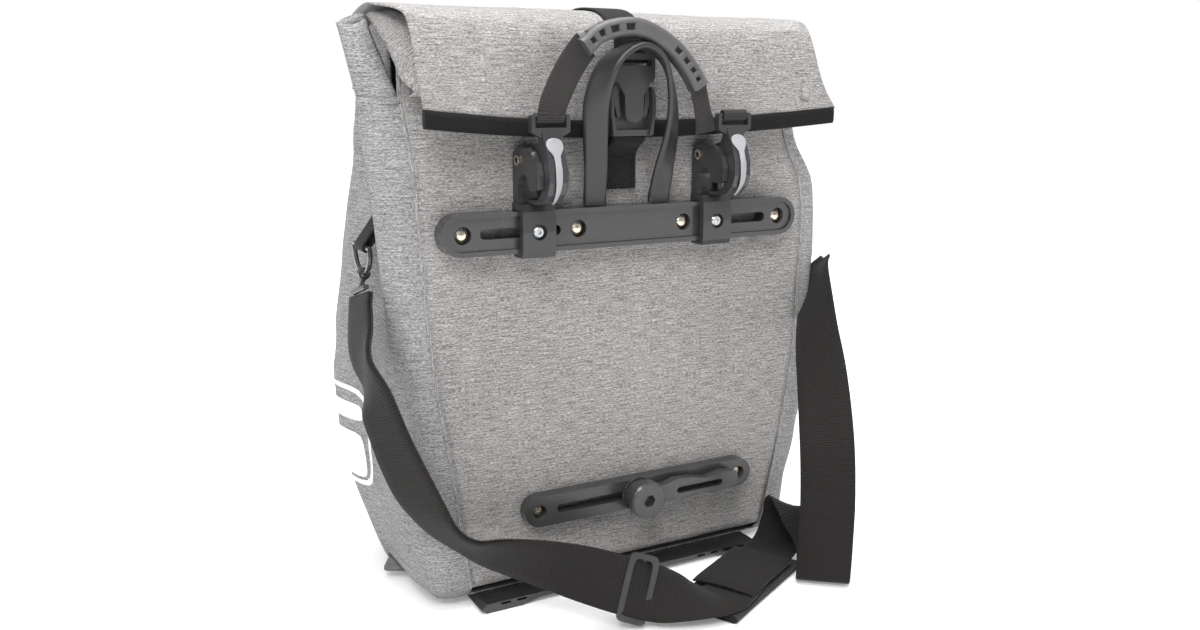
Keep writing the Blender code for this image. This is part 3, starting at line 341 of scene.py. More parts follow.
def grid_piece(name, rows, materials, u_rows=None, v_rows=None, closed=False, capped=False,
               angle=None):
    """Quads through rows of points. UVs are in metres: U along a row, V from row to row."""
    count = len(rows[0])
    middle = [row[count // 2] for row in rows]
    v_line = lengths_along(middle)
    mesh = bpy.data.meshes.new(name)
    points = [tuple(p) for row in rows for p in row]
    faces, coordinates = [], []
    for i in range(len(rows) - 1):
        lines = []
        for k in (i, i + 1):
            line = lengths_along(list(rows[k]) + ([rows[k][0]] if closed else []))
            centre = line[-1] / 2
            lines.append([value - centre for value in line])
        for j in range(count if closed else count - 1):
            k = (j + 1) % count
            faces.append((i * count + j, i * count + k, (i + 1) * count + k, (i + 1) * count + j))
            for row, column in ((0, j), (0, j + 1), (1, j + 1), (1, j)):
                u = lines[row][column] if u_rows is None else u_rows[i + row][column]
                v = v_line[i + row] if v_rows is None else v_rows[i + row][column]
                coordinates.append((u, v))
    if capped:
        last = (len(rows) - 1) * count
        faces.append(tuple(range(count - 1, -1, -1)))
        faces.append(tuple(range(last, last + count)))
        for end in (0, len(rows) - 1):
            order = range(count - 1, -1, -1) if end == 0 else range(count)
            for j in order:
                coordinates.append((v_line[end], j * 0.001))
    mesh.from_pydata(points, [], faces)
    layer = mesh.uv_layers.new(name="UVMap")
    for loop, (u, v) in zip(layer.data, coordinates):
        loop.uv = (u, v)
    shape = bmesh.new()
    shape.from_mesh(mesh)
    if closed:
        bmesh.ops.recalc_face_normals(shape, faces=shape.faces[:])
    shape.to_mesh(mesh)
    shape.free()
    return finish_mesh(name, mesh, materials, angle)


def add_thickness(piece, thickness, inside=0, offset=-1, even=True):
    """Give a sheet its real thickness, with the lining's slot on the inner face."""
    modifier = piece.modifiers.new("thickness", "SOLIDIFY")
    modifier.thickness = thickness
    modifier.offset = offset
    modifier.material_offset = inside
    modifier.use_even_offset = even


def ribbon_profile(width, thickness, crown=0.0):
    """Closed section of a flat band: (across, above), with rounded edges."""
    half, r = width / 2, thickness / 2
    cuts = 6
    top = [(-half + r + (width - 2 * r) * k / cuts) for k in range(cuts + 1)]
    points = [(a, r + crown * (1 - (a / half) ** 2)) for a in top]
    points += [(half - r + r * math.sin(t), r * math.cos(t)) for t in (0.9, 1.571, 2.24)]
    points += [(a, -r + crown * (1 - (a / half) ** 2)) for a in reversed(top)]
    points += [(-half + r - r * math.sin(t), r * math.cos(t)) for t in (2.24, 1.571, 0.9)]
    return points


def ribbon(name, stations, width, thickness, material, steps=6, crown=0.0, lift=0.0):
    """A band through stations of (point, across direction), in place() coordinates."""
    route = smooth_route([place(*p) for p, _ in stations], steps)
    across = smooth_route([Vector(side).normalized() for _, side in stations], steps)
    section = ribbon_profile(width, thickness, crown)
    along = lengths_along(route)
    rows, centres = [], []
    for i, point in enumerate(route):
        ahead = route[min(i + 1, len(route) - 1)] - route[max(i - 1, 0)]
        normal = ahead.cross(across[i]).normalized()
        side = normal.cross(ahead).normalized()
        centre = point + normal * lift
        centres.append(centre)
        rows.append([centre + side * a + normal * b for a, b in section])
    u_rows = [[length] * (len(section) + 1) for length in along]
    v_rows = [[a for a, _ in section] + [section[0][0]] for _ in along]
    piece = grid_piece(name, rows, [material], u_rows, v_rows, closed=True, capped=True, angle=60)
    return piece, centres


def level_band(points, across=ACROSS):
    """Stations of a band whose width keeps one direction."""
    return [(point, across) for point in points]


def crossed_box(low, high, half, out):
    """Runs of stitching: a box with its two diagonals, between two middle points."""
    side = Vector((half, 0, 0))
    a, b, c, d = low - side, low + side, high + side, high - side
    return [([a, b, c, d, a], out), ([a, c], out), ([b, d], out)]


def stitches(name, runs, material, length=0.0026, gap=0.0014, radius=0.00028):
    """Runs of thread: each run is (points, outward normal); stitches are short capsules."""
    shape = bmesh.new()
    for points, out in runs:
        out = Vector(out).normalized()
        line = [Vector(p) for p in points]
        marks = lengths_along(line)
        at = gap
        while at + length < marks[-1]:
            ends = []
            for want in (at, at + length):
                k = max(i for i, mark in enumerate(marks[:-1]) if mark <= want)
                share = (want - marks[k]) / max(marks[k + 1] - marks[k], 1e-9)
                ends.append(line[k].lerp(line[k + 1], share))
            ahead = (ends[1] - ends[0]).normalized()
            side = ahead.cross(out).normalized()
            turn = [math.tau * k / 6 for k in range(6)]
            rings = []
            for share, size, rise in ((0, 0.45, -0.4), (0.2, 1, 0.5), (0.8, 1, 0.5), (1, 0.45, -0.4)):
                centre = ends[0].lerp(ends[1], share) + out * radius * rise
                rings.append([shape.verts.new(centre + radius * size
                                              * (math.cos(a) * side + math.sin(a) * out))
                              for a in turn])
            for low, high in zip(rings, rings[1:]):
                for j in range(6):
                    k = (j + 1) % 6
                    shape.faces.new((low[j], low[k], high[k], high[j]))
            shape.faces.new(rings[0][::-1])
            shape.faces.new(rings[-1])
            at += length + gap
    bmesh.ops.recalc_face_normals(shape, faces=shape.faces[:])
    mesh = bpy.data.meshes.new(name)
    shape.to_mesh(mesh)
    shape.free()
    return finish_mesh(name, mesh, [material])


def put(piece, body, slot, *replaced):
    """Fasten a finished piece to its body and hide the parts it stands for."""
    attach(piece, body)
    if replaced:
        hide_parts(*replaced)
    return piece


# ---------------------------------------------------------------- fabric body
DEPTHS = [(0.007, 0.104), (0.035, 0.122), (0.07, 0.134), (0.115, 0.143), (0.16, 0.146),
          (0.205, 0.145), (0.25, 0.14), (0.3, 0.13), (0.345, 0.118)]
RIM = 0.345
BACK_TOP = 0.372
TOP_CORNER = 0.03          # how far the back panel's upper corners are rounded off
# level, then half widths at the sewn seam, the fold beside it, the inward fold behind that
# and the outer corner
PLANS = {
    "left": [(0.007, 0.1165, 0.146, 0.148, 0.15), (0.035, 0.121, 0.148, 0.153, 0.16),
             (0.07, 0.1255, 0.1505, 0.158, 0.168), (0.115, 0.1315, 0.154, 0.161, 0.1735),
             (0.16, 0.1385, 0.159, 0.162, 0.175), (0.205, 0.143, 0.165, 0.1585, 0.17),
             (0.25, 0.146, 0.169, 0.155, 0.1655), (0.3, 0.149, 0.174, 0.151, 0.1615),
             (0.345, 0.156, 0.178, 0.152, 0.159)],
    "right": [(0.007, 0.124, 0.15, 0.15, 0.148), (0.035, 0.13, 0.154, 0.154, 0.154),
              (0.07, 0.137, 0.162, 0.16, 0.161), (0.115, 0.145, 0.17, 0.166, 0.168),
              (0.16, 0.151, 0.1715, 0.166, 0.172), (0.205, 0.153, 0.1735, 0.164, 0.174),
              (0.25, 0.1545, 0.1735, 0.156, 0.174), (0.285, 0.15, 0.17, 0.154, 0.172),
              (0.316, 0.136, 0.153, 0.153, 0.169), (0.345, 0.132, 0.147, 0.15, 0.167)],
}


def plan_at(side, z):
    """Half widths of one side at a level: seam, near fold, inward fold, outer corner."""
    table = PLANS[side]
    return [curve_at([(row[0], row[i]) for row in table], z) for i in (1, 2, 3, 4)]


def side_half(side, z):
    """Plan curve of one half of the body at a level, from the back seam to the outer middle."""
    seam, fold, inward, corner = plan_at(side, z)
    d = curve_at(DEPTHS, z)
    end = min(0.066, d - 0.042)
    control = [(seam, 0.0005), (seam + 0.55 * (fold - seam), 0.0022), (fold - 0.003, 0.0085),
               (fold, 0.0165), (0.5 * (fold + inward), 0.0255), (inward, 0.033),
               (inward, end - 0.006), (0.6 * inward + 0.4 * corner, end + 0.01),
               (corner, d - 0.034), (corner - 0.01, d - 0.012),
               (corner - 0.033, d - 0.001), (corner * 0.55, d + 0.0015), (0, d + 0.0025)]
    return smooth_route([Vector((x, y, 0)) for x, y in control], 6)


def crumple(point):
    """Outward displacement of slack cloth: broad swells, slanting creases and fine puckers."""
    slant = Vector((point.x * 9, point.y * 9, point.z * 26.0 + 5.0 * point.x))
    broad = 0.0022 * noise.noise(point * 12)
    ridge = 0.0012 * (1 - abs(noise.noise(slant)) * 2.4)
    return broad + ridge + 0.0006 * noise.noise(point * 40)


def outward(along):
    """Unit vector out of the body, square to a level line round it."""
    return Vector((-along.y, along.x, 0)).normalized()


def side_row(z):
    """World points round the sides and the front at a level, from the left back seam."""
    left, right = side_half("left", z), side_half("right", z)
    plan = [(-p.x, p.y) for p in left[:-1]] + [(p.x, p.y) for p in reversed(right)]
    tuck = 0.008 * (1 - ramp_up(z, 0.0075, 0.02)) ** 2
    row = []
    for i, (x, y) in enumerate(plan):
        before, after = plan[max(i - 1, 0)], plan[min(i + 1, len(plan) - 1)]
        out = outward(Vector((after[0] - before[0], after[1] - before[1], 0)))
        point = place(x, y, z)
        calm = ramp_up(min(i, len(plan) - 1 - i) / 10, 0, 1)
        row.append(point + out * (calm * crumple(point) - tuck))
    return row


def body_levels():
    low = [0.0075, 0.009, 0.0115, 0.015, 0.02]
    return low + [0.02 + (RIM - 0.02) * k / 44 for k in range(1, 45)]


def back_wave(x, z):
    """Depth of the stiff back panel's soft unevenness, always inwards."""
    point = Vector((x, 0, z))
    soft = 0.0007 * (1 + noise.noise(point * 16)) + 0.0003 * noise.noise(point * 60)
    edge = ramp_up(0.152 - abs(x), 0, 0.03)
    low = 0.0012 * bump_at(z, 0.035, 0.03) * (1 + noise.noise(point * 25))
    return 0.0003 + edge * (max(soft, 0) + low)


def fabric_body():
    """The open bag: one cloth round the sides and front, the back panel and the base."""
    levels = body_levels()
    rows = [side_row(z) for z in reversed(levels)]
    wall = grid_piece("side_cloth", rows, ["side", "lining"])
    add_thickness(wall, CLOTH, 1, even=False)
    put(wall, "bag", "side_fabric", "gusset_left", "gusset_right", "outer_panel")

    tops = [z for z in levels if z > 0.012] + [0.3515, 0.358, 0.364, 0.369, BACK_TOP]
    rows = []
    for z in tops:
        rounding = TOP_CORNER * max((z - RIM) / (BACK_TOP - RIM), 0) ** 3
        left, right = (plan_at(side, min(z, RIM))[0] + 0.0004 - rounding for side in SIDES)
        rows.append([place(-left + (left + right) * k / 48, 0, z) for k in range(49)])
    for row in rows:
        for point in row:
            point.y += back_wave(point.x, point.z)
    back = grid_piece("back_cloth", rows, ["fabric", "lining"])
    add_thickness(back, CLOTH, 1)
    put(back, "bag", "grey_fabric", "back_panel")

    ring = side_row(levels[0])
    centre = place(0, 0.05, 0.0078)
    rings = [ring] + [[p.lerp(centre, share) for p in ring] for share in (0.15, 0.5, 0.98)]
    base = grid_piece("base_cloth", rings, ["side", "lining"], closed=True)
    add_thickness(base, CLOTH, 1, 0, even=False)
    put(base, "bag", "grey_fabric", "bottom_panel")


def side_lap():
    """Lapped, sewn seams between the back panel and the sides."""
    runs = []
    for side, sign in SIDES.items():
        stations = []
        for k in range(34):
            z = 0.016 + (0.366 - 0.016) * k / 33
            x = sign * (plan_at(side, min(z, RIM))[0] + 0.0006)
            stations.append(((x, 0.0003, z), (1, 0.1 * sign, 0)))
        seam, centres = ribbon(f"seam_{side}", stations, 0.0024, 0.0004, "side", 2)
        put(seam, "bag", "grey_fabric")
        runs.append(([c + Vector((-sign * 0.003, -0.0002, 0)) for c in centres], RACKWARD))
    put(stitches("seam_stitches", runs, "side", 0.0022, 0.0014, 0.0002), "bag", "grey_fabric")


def hem_lines():
    """Rows of stitching round the mouth's hem, over the bottom seam and up the outer corners."""
    runs = []
    for z in (RIM - 0.004, RIM - 0.012, 0.026):
        row = side_row(z)
        for i in range(4, len(row) - 8, 4):
            points = row[i:i + 5]
            out = outward(points[-1] - points[0])
            runs.append(([p + out * 0.0002 for p in points], out))
    for share in (0.775, 1.225):
        for k in range(30):
            z = 0.03 + 0.3 * k / 29
            row = side_row(z)
            at = round(share * 0.5 * (len(row) - 1))
            above = side_row(z + 0.0075)
            out = outward(row[at + 1] - row[at - 1])
            runs.append(([row[at] + out * 0.0002, above[at] + out * 0.0002], out))
    put(stitches("hem_lines", runs, "side", 0.0024, 0.0012, 0.00022), "bag", "side_fabric")


def on_side(share, z, lift):
    """Point on the outside of the left wall: share 0 at its seam to 1 at the outer middle."""
    half = side_half("left", z)
    at = share * (len(half) - 1)
    i = min(int(at), len(half) - 2)
    point = half[i].lerp(half[i + 1], at - i)
    along = (half[i + 1] - half[i]).normalized()
    world = place(-point.x, point.y, z)
    return world + Vector((-along.y, -along.x, 0)) * (crumple(world) + lift)


def reflective_print():
    """A plain reflective graphic: a rounded outline, a slim bar and a solid block.

    Its places are (share round the left wall, level), as on_side takes them.
    """
    def rounded(centre, half, power, turns=40):
        line = []
        for k in range(turns + 1):
            a = math.tau * k / turns
            size = squareness(a, power)
            line.append((centre[0] + half[0] * size * math.cos(a),
                         centre[1] + half[1] * size * math.sin(a)))
        return line

    for name, centre, outer, inner, power, bands in (
            ("outline", (0.672, 0.108), (0.118, 0.037), (0.106, 0.0335), 5, 2),
            ("block", (0.672, 0.094), (0.085, 0.017), (0.001, 0.0002), 6, 8),
            ("bar", (0.672, 0.126), (0.085, 0.0065), (0.001, 0.0001), 6, 4)):
        lines = [rounded(centre, half, power) for half in (outer, inner)]
        rows = []
        for k in range(bands + 1):
            t = k / bands
            rows.append([on_side(a[0] + (b[0] - a[0]) * t, a[1] + (b[1] - a[1]) * t, 0.00035)
                         for a, b in zip(*lines)])
        put(grid_piece(f"print_{name}", rows, ["print"]), "bag", "inlay_grey")


# ---------------------------------------------------------------- roll-top
FLAP_LEFT = (0.15, 0.154, 0.161, 0.165, 0.165, 0.164, 0.1615, 0.159, 0.1555, 0.152)
FLAP_RIGHT = (0.166, 0.167, 0.167, 0.164, 0.1585, 0.149, 0.1365, 0.1365, 0.144, 0.154)


def flap_edge_y(x):
    """Outer face of the hanging flap: pulled in at the buckle, flared at its ends."""
    return -0.0115 - 0.0205 * (x / 0.15) ** 2


def flap_edge_z(x):
    return 0.3285 + 0.008 * (x / 0.15) ** 2


def flap_profile(x):
    """Section of the roll-top at one x, from its rear edge over the ridge to its hem."""
    y, z = flap_edge_y(x), flap_edge_z(x)
    return [(0.118, 0.3472), (0.115, 0.364), (0.101, 0.382), (0.073, 0.395),
            (0.042, 0.402), (0.015, 0.4005), (y + 0.011, 0.3945), (y + 0.0018, 0.383),
            (y, 0.356), (y, z)]


def flap_point(share, t):
    """World point of the flap's outer face: share -1 to 1 across, t 0 to 9 down the profile."""
    half = curve_at(list(enumerate(FLAP_LEFT if share < 0 else FLAP_RIGHT)), t)
    x = share * half
    profile = flap_profile(x)
    y = curve_at([(k, p[0]) for k, p in enumerate(profile)], t)
    z = curve_at([(k, p[1]) for k, p in enumerate(profile)], t)
    return place(x, y, z)


def roll_cloth():
    """The flap: from inside the body's rear wall over the ridge and down to the hem."""
    rows = []
    for y, z in ((0.116, 0.334), (0.1166, 0.34)):
        rows.append([place((k / 24 - 1) * (0.15 if k < 24 else 0.164), y, z) for k in range(49)])
    steps = 72
    for i in range(steps + 1):
        t = 9 * i / steps
        row = []
        for k in range(49):
            point = flap_point(k / 24 - 1, t)
            soft = 0.0026 * noise.noise(point * 9) + 0.0005 * noise.noise(point * 34)
            calm = ramp_up(t, 0.5, 2) * (1 - ramp_up(t, 8.2, 9))
            crease = 0.001 * bump_at(abs(point.x), 0.118, 0.01) * ramp_up(t, 5, 7)
            inward = Vector((0, 1, 0)) if t > 6.5 else Vector((0, 0.3, -0.95))
            near_strap = 1 - bump_at(point.x, -0.005, 0.02)
            row.append(point + inward * calm * (abs(soft) + crease) * near_strap)
        rows.append(row)
    cloth = grid_piece("roll_cloth", rows[::-1], ["fabric", "lining"])
    add_thickness(cloth, CLOTH, 1)
    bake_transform(cloth)
    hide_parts("roll_flap")


def hem_binding():
    """Woven edging folded over the flap's hem."""
    section = [(-0.001, 0), (-0.0013, -0.003), (-0.0013, -0.0085), (-0.0006, -0.0104),
               (0.001, -0.0108), (0.0026, -0.0104), (0.0033, -0.0085), (0.0033, -0.003),
               (0.003, 0), (0.0014, 0.0006), (0.0002, 0.0006)]
    rows = []
    count = 60
    for i in range(count + 1):
        x = 0.1525 * (2 * i / count - 1)
        y, z = flap_edge_y(x), flap_edge_z(x) + 0.0004
        ripple = 0.0003 * noise.noise(Vector((x * 60, 0, 0)))
        rows.append([place(x, y + a + ripple, z + b) for a, b in section])
    along = lengths_along([row[0] for row in rows])
    around = lengths_along([Vector((a, b, 0)) for a, b in section + section[:1]])
    u_rows = [[length] * (len(section) + 1) for length in along]
    v_rows = [around for _ in rows]
    edge = grid_piece("hem_binding", rows, ["binding"], u_rows, v_rows, closed=True, capped=True,
                      angle=60)
    put(edge, "roll_top", "black_binding", "flap_binding")
    line = []
    for k in range(61):
        x = 0.152 * (k / 30 - 1)
        line.append(place(x, flap_edge_y(x) - 0.00125, flap_edge_z(x) - 0.002))
    put(stitches("hem_stitches", [(line, RACKWARD)], "black_webbing", 0.003),
        "roll_top", "black_binding")


def roll_inner():
    """The rolled layer under the flap, folded up behind the hem."""
    rows = []
    for k in range(41):
        share = k / 20 - 1
        x = share * (0.154 if share < 0 else 0.133)
        y = flap_edge_y(x)
        profile = [(0.112, 0.35), (0.1085, 0.364), (0.095, 0.3765), (0.07, 0.388),
                   (0.042, 0.394), (0.018, 0.3925), (0.55 * y + 0.007, 0.386),
                   (0.62 * y + 0.001, 0.376), (0.66 * y, 0.36), (0.6 * y + 0.0004, 0.349),
                   (0.42 * y, 0.3455), (0.26 * y - 0.0004, 0.349), (0.24 * y - 0.0006, 0.368)]
        rows.append(smooth_route([place(x, a, b) for a, b in profile], 4))
    columns = [list(column) for column in zip(*rows)]
    layer = grid_piece("roll_inner", columns, ["fabric"])
    add_thickness(layer, FOLDED, 0, 0)
    put(layer, "roll_top", "grey_fabric")


# plan points, at its foot and at its top, of each end's fold and of the two leaves it joins,
# and how far the petal outside them is shifted
ENDS = {
    "left": {"fold": ((-0.177, 0.016), (-0.185, 0.026)), "near": ((-0.156, 0), (-0.166, 0.033)),
             "far": ((-0.16, 0.034), (-0.164, 0.04)), "petal": 0.0},
    "right": {"fold": ((0.148, 0.016), (0.15, 0.026)), "near": ((0.133, 0), (0.14, 0.031)),
              "far": ((0.152, 0.034), (0.144, 0.038)), "petal": -0.016},
}
ROLL_WALL_X = 0.15


def roll_leaf(side, sign, end):
    """The gusset's near fold carried up into the roll: two leaves joined at the fold."""
    rows = []
    low, high = 0.3405, 0.389
    near_bulge, far_bulge = Vector((sign * 0.3, -1)), Vector((sign * 0.2, 0.6))
    for i in range(13):
        rise = i / 12
        fold, near, far = (Vector(end[key][0]).lerp(Vector(end[key][1]), rise)
                           for key in ("fold", "near", "far"))
        row = []
        for k in range(25):
            u = k / 12
            if u <= 1:
                arch = math.sin(math.pi * u)
                point = near.lerp(fold, u) + near_bulge * 0.005 * arch ** 0.8
                top = high - 0.003 * arch + 0.003 * (1 - u)
            else:
                point = fold.lerp(far, u - 1) + far_bulge * 0.003 * math.sin(math.pi * (u - 1))
                top = high + 0.0065 * math.sin(0.5 * math.pi * (u - 1))
            z = low + (top - low) * rise
            spot = place(point.x, point.y, z)
            row.append(spot + Vector((0, 1, 0)) * 0.0008 * noise.noise(spot * 45))
        rows.append(row)
    leaf = grid_piece(f"roll_leaf_{side}", rows, ["side"])
    add_thickness(leaf, FOLDED, 0, 0)
    put(leaf, "roll_top", "side_fabric", f"roll_tuck_{side}")


def roll_petal(side, sign, shift):
    """The next layer out: from the flap's end edge, curved like a petal."""
    bulge = Vector((sign * 0.0022, -0.003, 0))
    outer = [(0.164, 0.036, 0.3945), (0.1648, 0.018, 0.387), (0.164, 0, 0.3768),
             (0.162, -0.011, 0.3645), (0.1598, -0.016, 0.3552), (0.154, -0.0215, 0.3485),
             (0.1475, -0.027, 0.3425)]
    inner = [(0.156, 0.034, 0.3975), (0.153, 0.01, 0.396), (0.15, -0.01, 0.389),
             (0.148, -0.0205, 0.379), (0.1465, -0.024, 0.368), (0.1455, -0.0255, 0.356),
             (0.144, -0.0265, 0.343)]
    a_line, b_line = (smooth_route([place(sign * (x + shift), y, z) for x, y, z in edge], 5)
                      for edge in (outer, inner))
    rows = [[a.lerp(b, k / 8) + bulge * math.sin(math.pi * k / 8) for k in range(9)]
            for a, b in zip(a_line, b_line)]
    petal = grid_piece(f"roll_petal_{side}", rows, ["fabric"])
    add_thickness(petal, FOLDED, 0, 0)
    put(petal, "roll_top", "side_fabric")


def roll_wall(side, sign):
    """The far leaf, closing the roll's end under its ridge."""
    rows = []
    for i in range(9):
        t = i / 8
        line = []
        for k in range(13):
            y = 0.036 + (0.112 - 0.036) * k / 12
            top = curve_at([(-0.02, 0.392), (0.018, 0.3925), (0.042, 0.396), (0.073, 0.3895),
                            (0.1, 0.377), (0.1165, 0.354)], y)
            x = ROLL_WALL_X + 0.004 * math.sin(math.pi * k / 12) * (1 - t)
            line.append(place(sign * x, y, 0.3465 + (top - 0.3465) * t))
        rows.append(line)
    wall = grid_piece(f"roll_wall_{side}", rows, ["side"])
    add_thickness(wall, FOLDED, 0, 0)
    put(wall, "roll_top", "side_fabric")


def roll_ends():
    """What shows at each end of the roll: the folded-in gusset's leaves."""
    for side, sign in SIDES.items():
        roll_leaf(side, sign, ENDS[side])
        roll_petal(side, sign, ENDS[side]["petal"])
        roll_wall(side, sign)


def closure_webbing():
    """Webbing over the roll, and its short tail into the buckle's male half."""
    profile = flap_profile(CLOSURE_X)
    lifts = ((0.0012, 0.001), (0.0008, 0.0012), (0, 0.0012), (0, 0.0012), (0, 0.0012),
             (-0.001, 0.001))
    path = [(0.119, 0.349)] + [(y + a, z + b) for (y, z), (a, b) in zip(profile[1:7], lifts)]
    path.append((profile[7][0] - 0.0012, 0.387))
    stations = level_band([(CLOSURE_X, y, z) for y, z in path])
    over, _ = ribbon("closure_over", stations, CLOSURE_WIDTH, 0.0015, "black_webbing", 8)
    put(over, "roll_top", "black_webbing", "closure_strap")
    tail = level_band([(CLOSURE_X, y, z) for y, z in (
        (-0.0146, 0.3885), (-0.016, 0.38), (-0.0168, 0.373), (-0.0172, 0.3665))])
    short, _ = ribbon("closure_tail", tail, 0.0245, 0.0014, "black_webbing", 6)
    put(short, "buckle_plug", "black_webbing", "closure_strap_tail")


def rear_anchor():
    """Webbing sewn to the outer panel, up to the roll, that the closure pulls against."""
    stations = level_band([(CLOSURE_X, curve_at(DEPTHS, z) + 0.0042, z) for z in
                           (0.296, 0.302, 0.312, 0.322, 0.332, 0.342)], (-1, 0, 0))
    strip, centres = ribbon("rear_anchor", stations, CLOSURE_WIDTH, 0.0016, "black_webbing", 6)
    put(strip, "bag", "black_webbing", "closure_anchor")
    face = [c + Vector((0, 0.0009, 0)) for c in centres]
    runs = crossed_box(face[4], face[16], 0.0105, REARWARD)
    put(stitches("rear_anchor_stitches", runs, "thread", 0.0019, 0.001, 0.00028),
        "bag", "black_webbing")


# ---------------------------------------------------------------- handle, loop and patch
GRIP_Y = -0.033
GRIP_LINE = [(-0.049, 0.3745), (-0.035, 0.3845), (-0.0105, 0.3878), (0.013, 0.3778),
             (0.028, 0.364), (0.0368, 0.3515)]
SLOT_BAR = (-0.034, 0.3328)
HOOK_X = {"left": -0.0725, "right": 0.065}
WEBBING_ROUTES = {
    "left": [((-0.0725, -0.0376, 0.3366), ACROSS),
             ((-0.069, -0.0372, 0.3455), (0.98, 0, -0.2)),
             ((-0.0595, -0.0345, 0.361), (0.92, 0, -0.4)),
             ((-0.05, -0.033, 0.373), (0.75, 0, -0.65)),
             ((-0.0465, -0.033, 0.3765), (0.7, 0, -0.7))],
    "right": level_band([(0.065, -0.0368, 0.3345), (0.065, -0.034, 0.3359),
                         (0.065, -0.0311, 0.3335), (0.065, -0.031, 0.33)]),
}
HOOK_TURNS = {"left": (0, -45, -90, -135, -180), "right": (-60, -90, -120, -150)}
# the leg below the grip's right end, which hangs past its lever
RIGHT_LEG = [((0.036, -0.0331, 0.3545), (0.86, 0.3, 0.4)),
             ((0.0375, -0.0335, 0.3475), (0.9, 0.36, 0.2)),
             ((0.04, -0.0338, 0.337), (0.93, 0.36, 0.1)),
             ((0.042, -0.0338, 0.329), (0.95, 0.3, 0.05)),
             ((0.0432, -0.0336, 0.3215), (0.98, 0.15, 0.05))]
# the grip's slots, in faces: where each starts along the grip, how long it is, and its columns
SLOT_STARTS = (4, 11, 18, 25, 50, 57, 64, 71)
SLOT_ROWS = 5
SLOT_COLUMNS = ((19, 20, 21, 22), (26, 27, 0, 1))


def handle_grip():
    """Ribbed grip: a squarish bar with two rows of recessed slots at each end."""
    route = smooth_route([place(x, GRIP_Y, z) for x, z in GRIP_LINE], 16)
    sides = 28
    rows, last = [], len(route) - 1
    for i, point in enumerate(route):
        ahead = (route[min(i + 1, last)] - route[max(i - 1, 0)]).normalized()
        up = Vector(RACKWARD).cross(ahead).normalized()
        flare = 1.0 + 0.06 * (bump_at(i, 0, 2.4) + bump_at(i, last, 2.4))
        row = []
        for k in range(sides):
            a = math.tau * k / sides
            ca, sa = math.cos(a), math.sin(a)
            squared = squareness(a, 3.2)
            row.append(point + up * 0.006 * flare * squared * ca
                       + Vector(REARWARD) * 0.0066 * flare * squared * sa)
        rows.append(row)
    grip = grid_piece("grip", rows, ["grip", "hole"], closed=True, capped=True, angle=50)
    shape = bmesh.new()
    shape.from_mesh(grip.data)
    shape.faces.ensure_lookup_table()
    slots = [[shape.faces[(i + row) * sides + j] for row in range(SLOT_ROWS) for j in around]
             for i in SLOT_STARTS for around in SLOT_COLUMNS]
    for slot in slots:
        bmesh.ops.inset_region(shape, faces=slot, thickness=0.0004, depth=0.0)
        bmesh.ops.inset_region(shape, faces=slot, thickness=0.0001, depth=-0.0026)
        for face in slot:
            face.material_index = 1
    shape.to_mesh(grip.data)
    shape.free()
    put(grip, "handle", "hook_plastic", "handle_grip")


def handle_webbing():
    """Left: from the lever's slot bar to the grip. Right: a loop on the bar and a hanging leg."""
    for side, x in HOOK_X.items():
        hook = [(x, SLOT_BAR[0] + 0.003 * math.cos(math.radians(a)),
                 SLOT_BAR[1] + 0.003 * math.sin(math.radians(a))) for a in HOOK_TURNS[side]]
        if side == "left":
            hook.insert(0, (x, hook[0][1], hook[0][2] + 0.0022))
        piece, _ = ribbon(f"grip_webbing_{side}", level_band(hook) + WEBBING_ROUTES[side], 0.019,
                          0.0013, "brown_webbing", 6)
        put(piece, f"{side}_webbing", "brown_webbing", f"handle_webbing_{side}")
    leg, _ = ribbon("grip_webbing_leg", RIGHT_LEG, 0.018, 0.0013, "brown_webbing", 6)
    put(leg, "right_webbing", "brown_webbing")


def rubber_loop():
    leg = RAIL_Z + RAIL_HALF + 0.001        # the legs run down behind the rail from here
    stations = [((-0.0265, -0.0066, leg), (1, 0, 0)),
                ((-0.0267, -0.0072, leg + 0.005), (1, 0, 0)),
                ((-0.03, -0.015, 0.298), (1, -0.05, 0)),
                ((-0.035, -0.024, 0.322), (0.96, -0.25, 0)),
                ((-0.0365, -0.029, 0.344), (0.8, -0.6, 0)),
                ((-0.0285, -0.0324, 0.366), (0.45, -0.89, 0)),
                ((-0.009, -0.0332, 0.3768), (0.05, -1, 0)),
                ((0.0092, -0.0324, 0.369), (-0.35, -0.93, 0)),
                ((0.019, -0.029, 0.348), (-0.62, -0.78, 0)),
                ((0.0225, -0.024, 0.324), (-0.8, -0.55, 0)),
                ((0.022, -0.0155, 0.298), (-0.94, -0.2, 0)),
                ((0.0232, -0.0072, leg + 0.005), (-1, 0, 0)),
                ((0.0233, -0.0066, leg), (-1, 0, 0))]
    band, _ = ribbon("loop_band", stations, 0.0168, 0.0042, "rubber", 8)
    put(band, "loop", "black_rubber", "rubber_loop")


def anchor_patch():
    """Sewn webbing patch on the back panel, with its bar-tacks."""
    stations = level_band([(CLOSURE_X, y, z) for y, z in (
        (-0.0014, 0.2836), (-0.0017, 0.29), (-0.0018, 0.305), (-0.006, 0.3115),
        (-0.0128, 0.316), (-0.0152, 0.3195))])
    patch, _ = ribbon("anchor_patch", stations, CLOSURE_WIDTH, 0.0026, "black_webbing", 6)
    put(patch, "bag", "black_webbing", "buckle_anchor_webbing")
    face, half = -0.0034, 0.0108
    low, high, bar = (place(CLOSURE_X, face, z) for z in (0.2858, 0.304, 0.3055))
    side = Vector((half, 0, 0))
    runs = crossed_box(low, high, half, RACKWARD) + [([bar - side, bar + side], RACKWARD)]
    put(stitches("patch_stitches", runs, "thread", 0.0019, 0.001, 0.0003), "bag", "black_webbing")


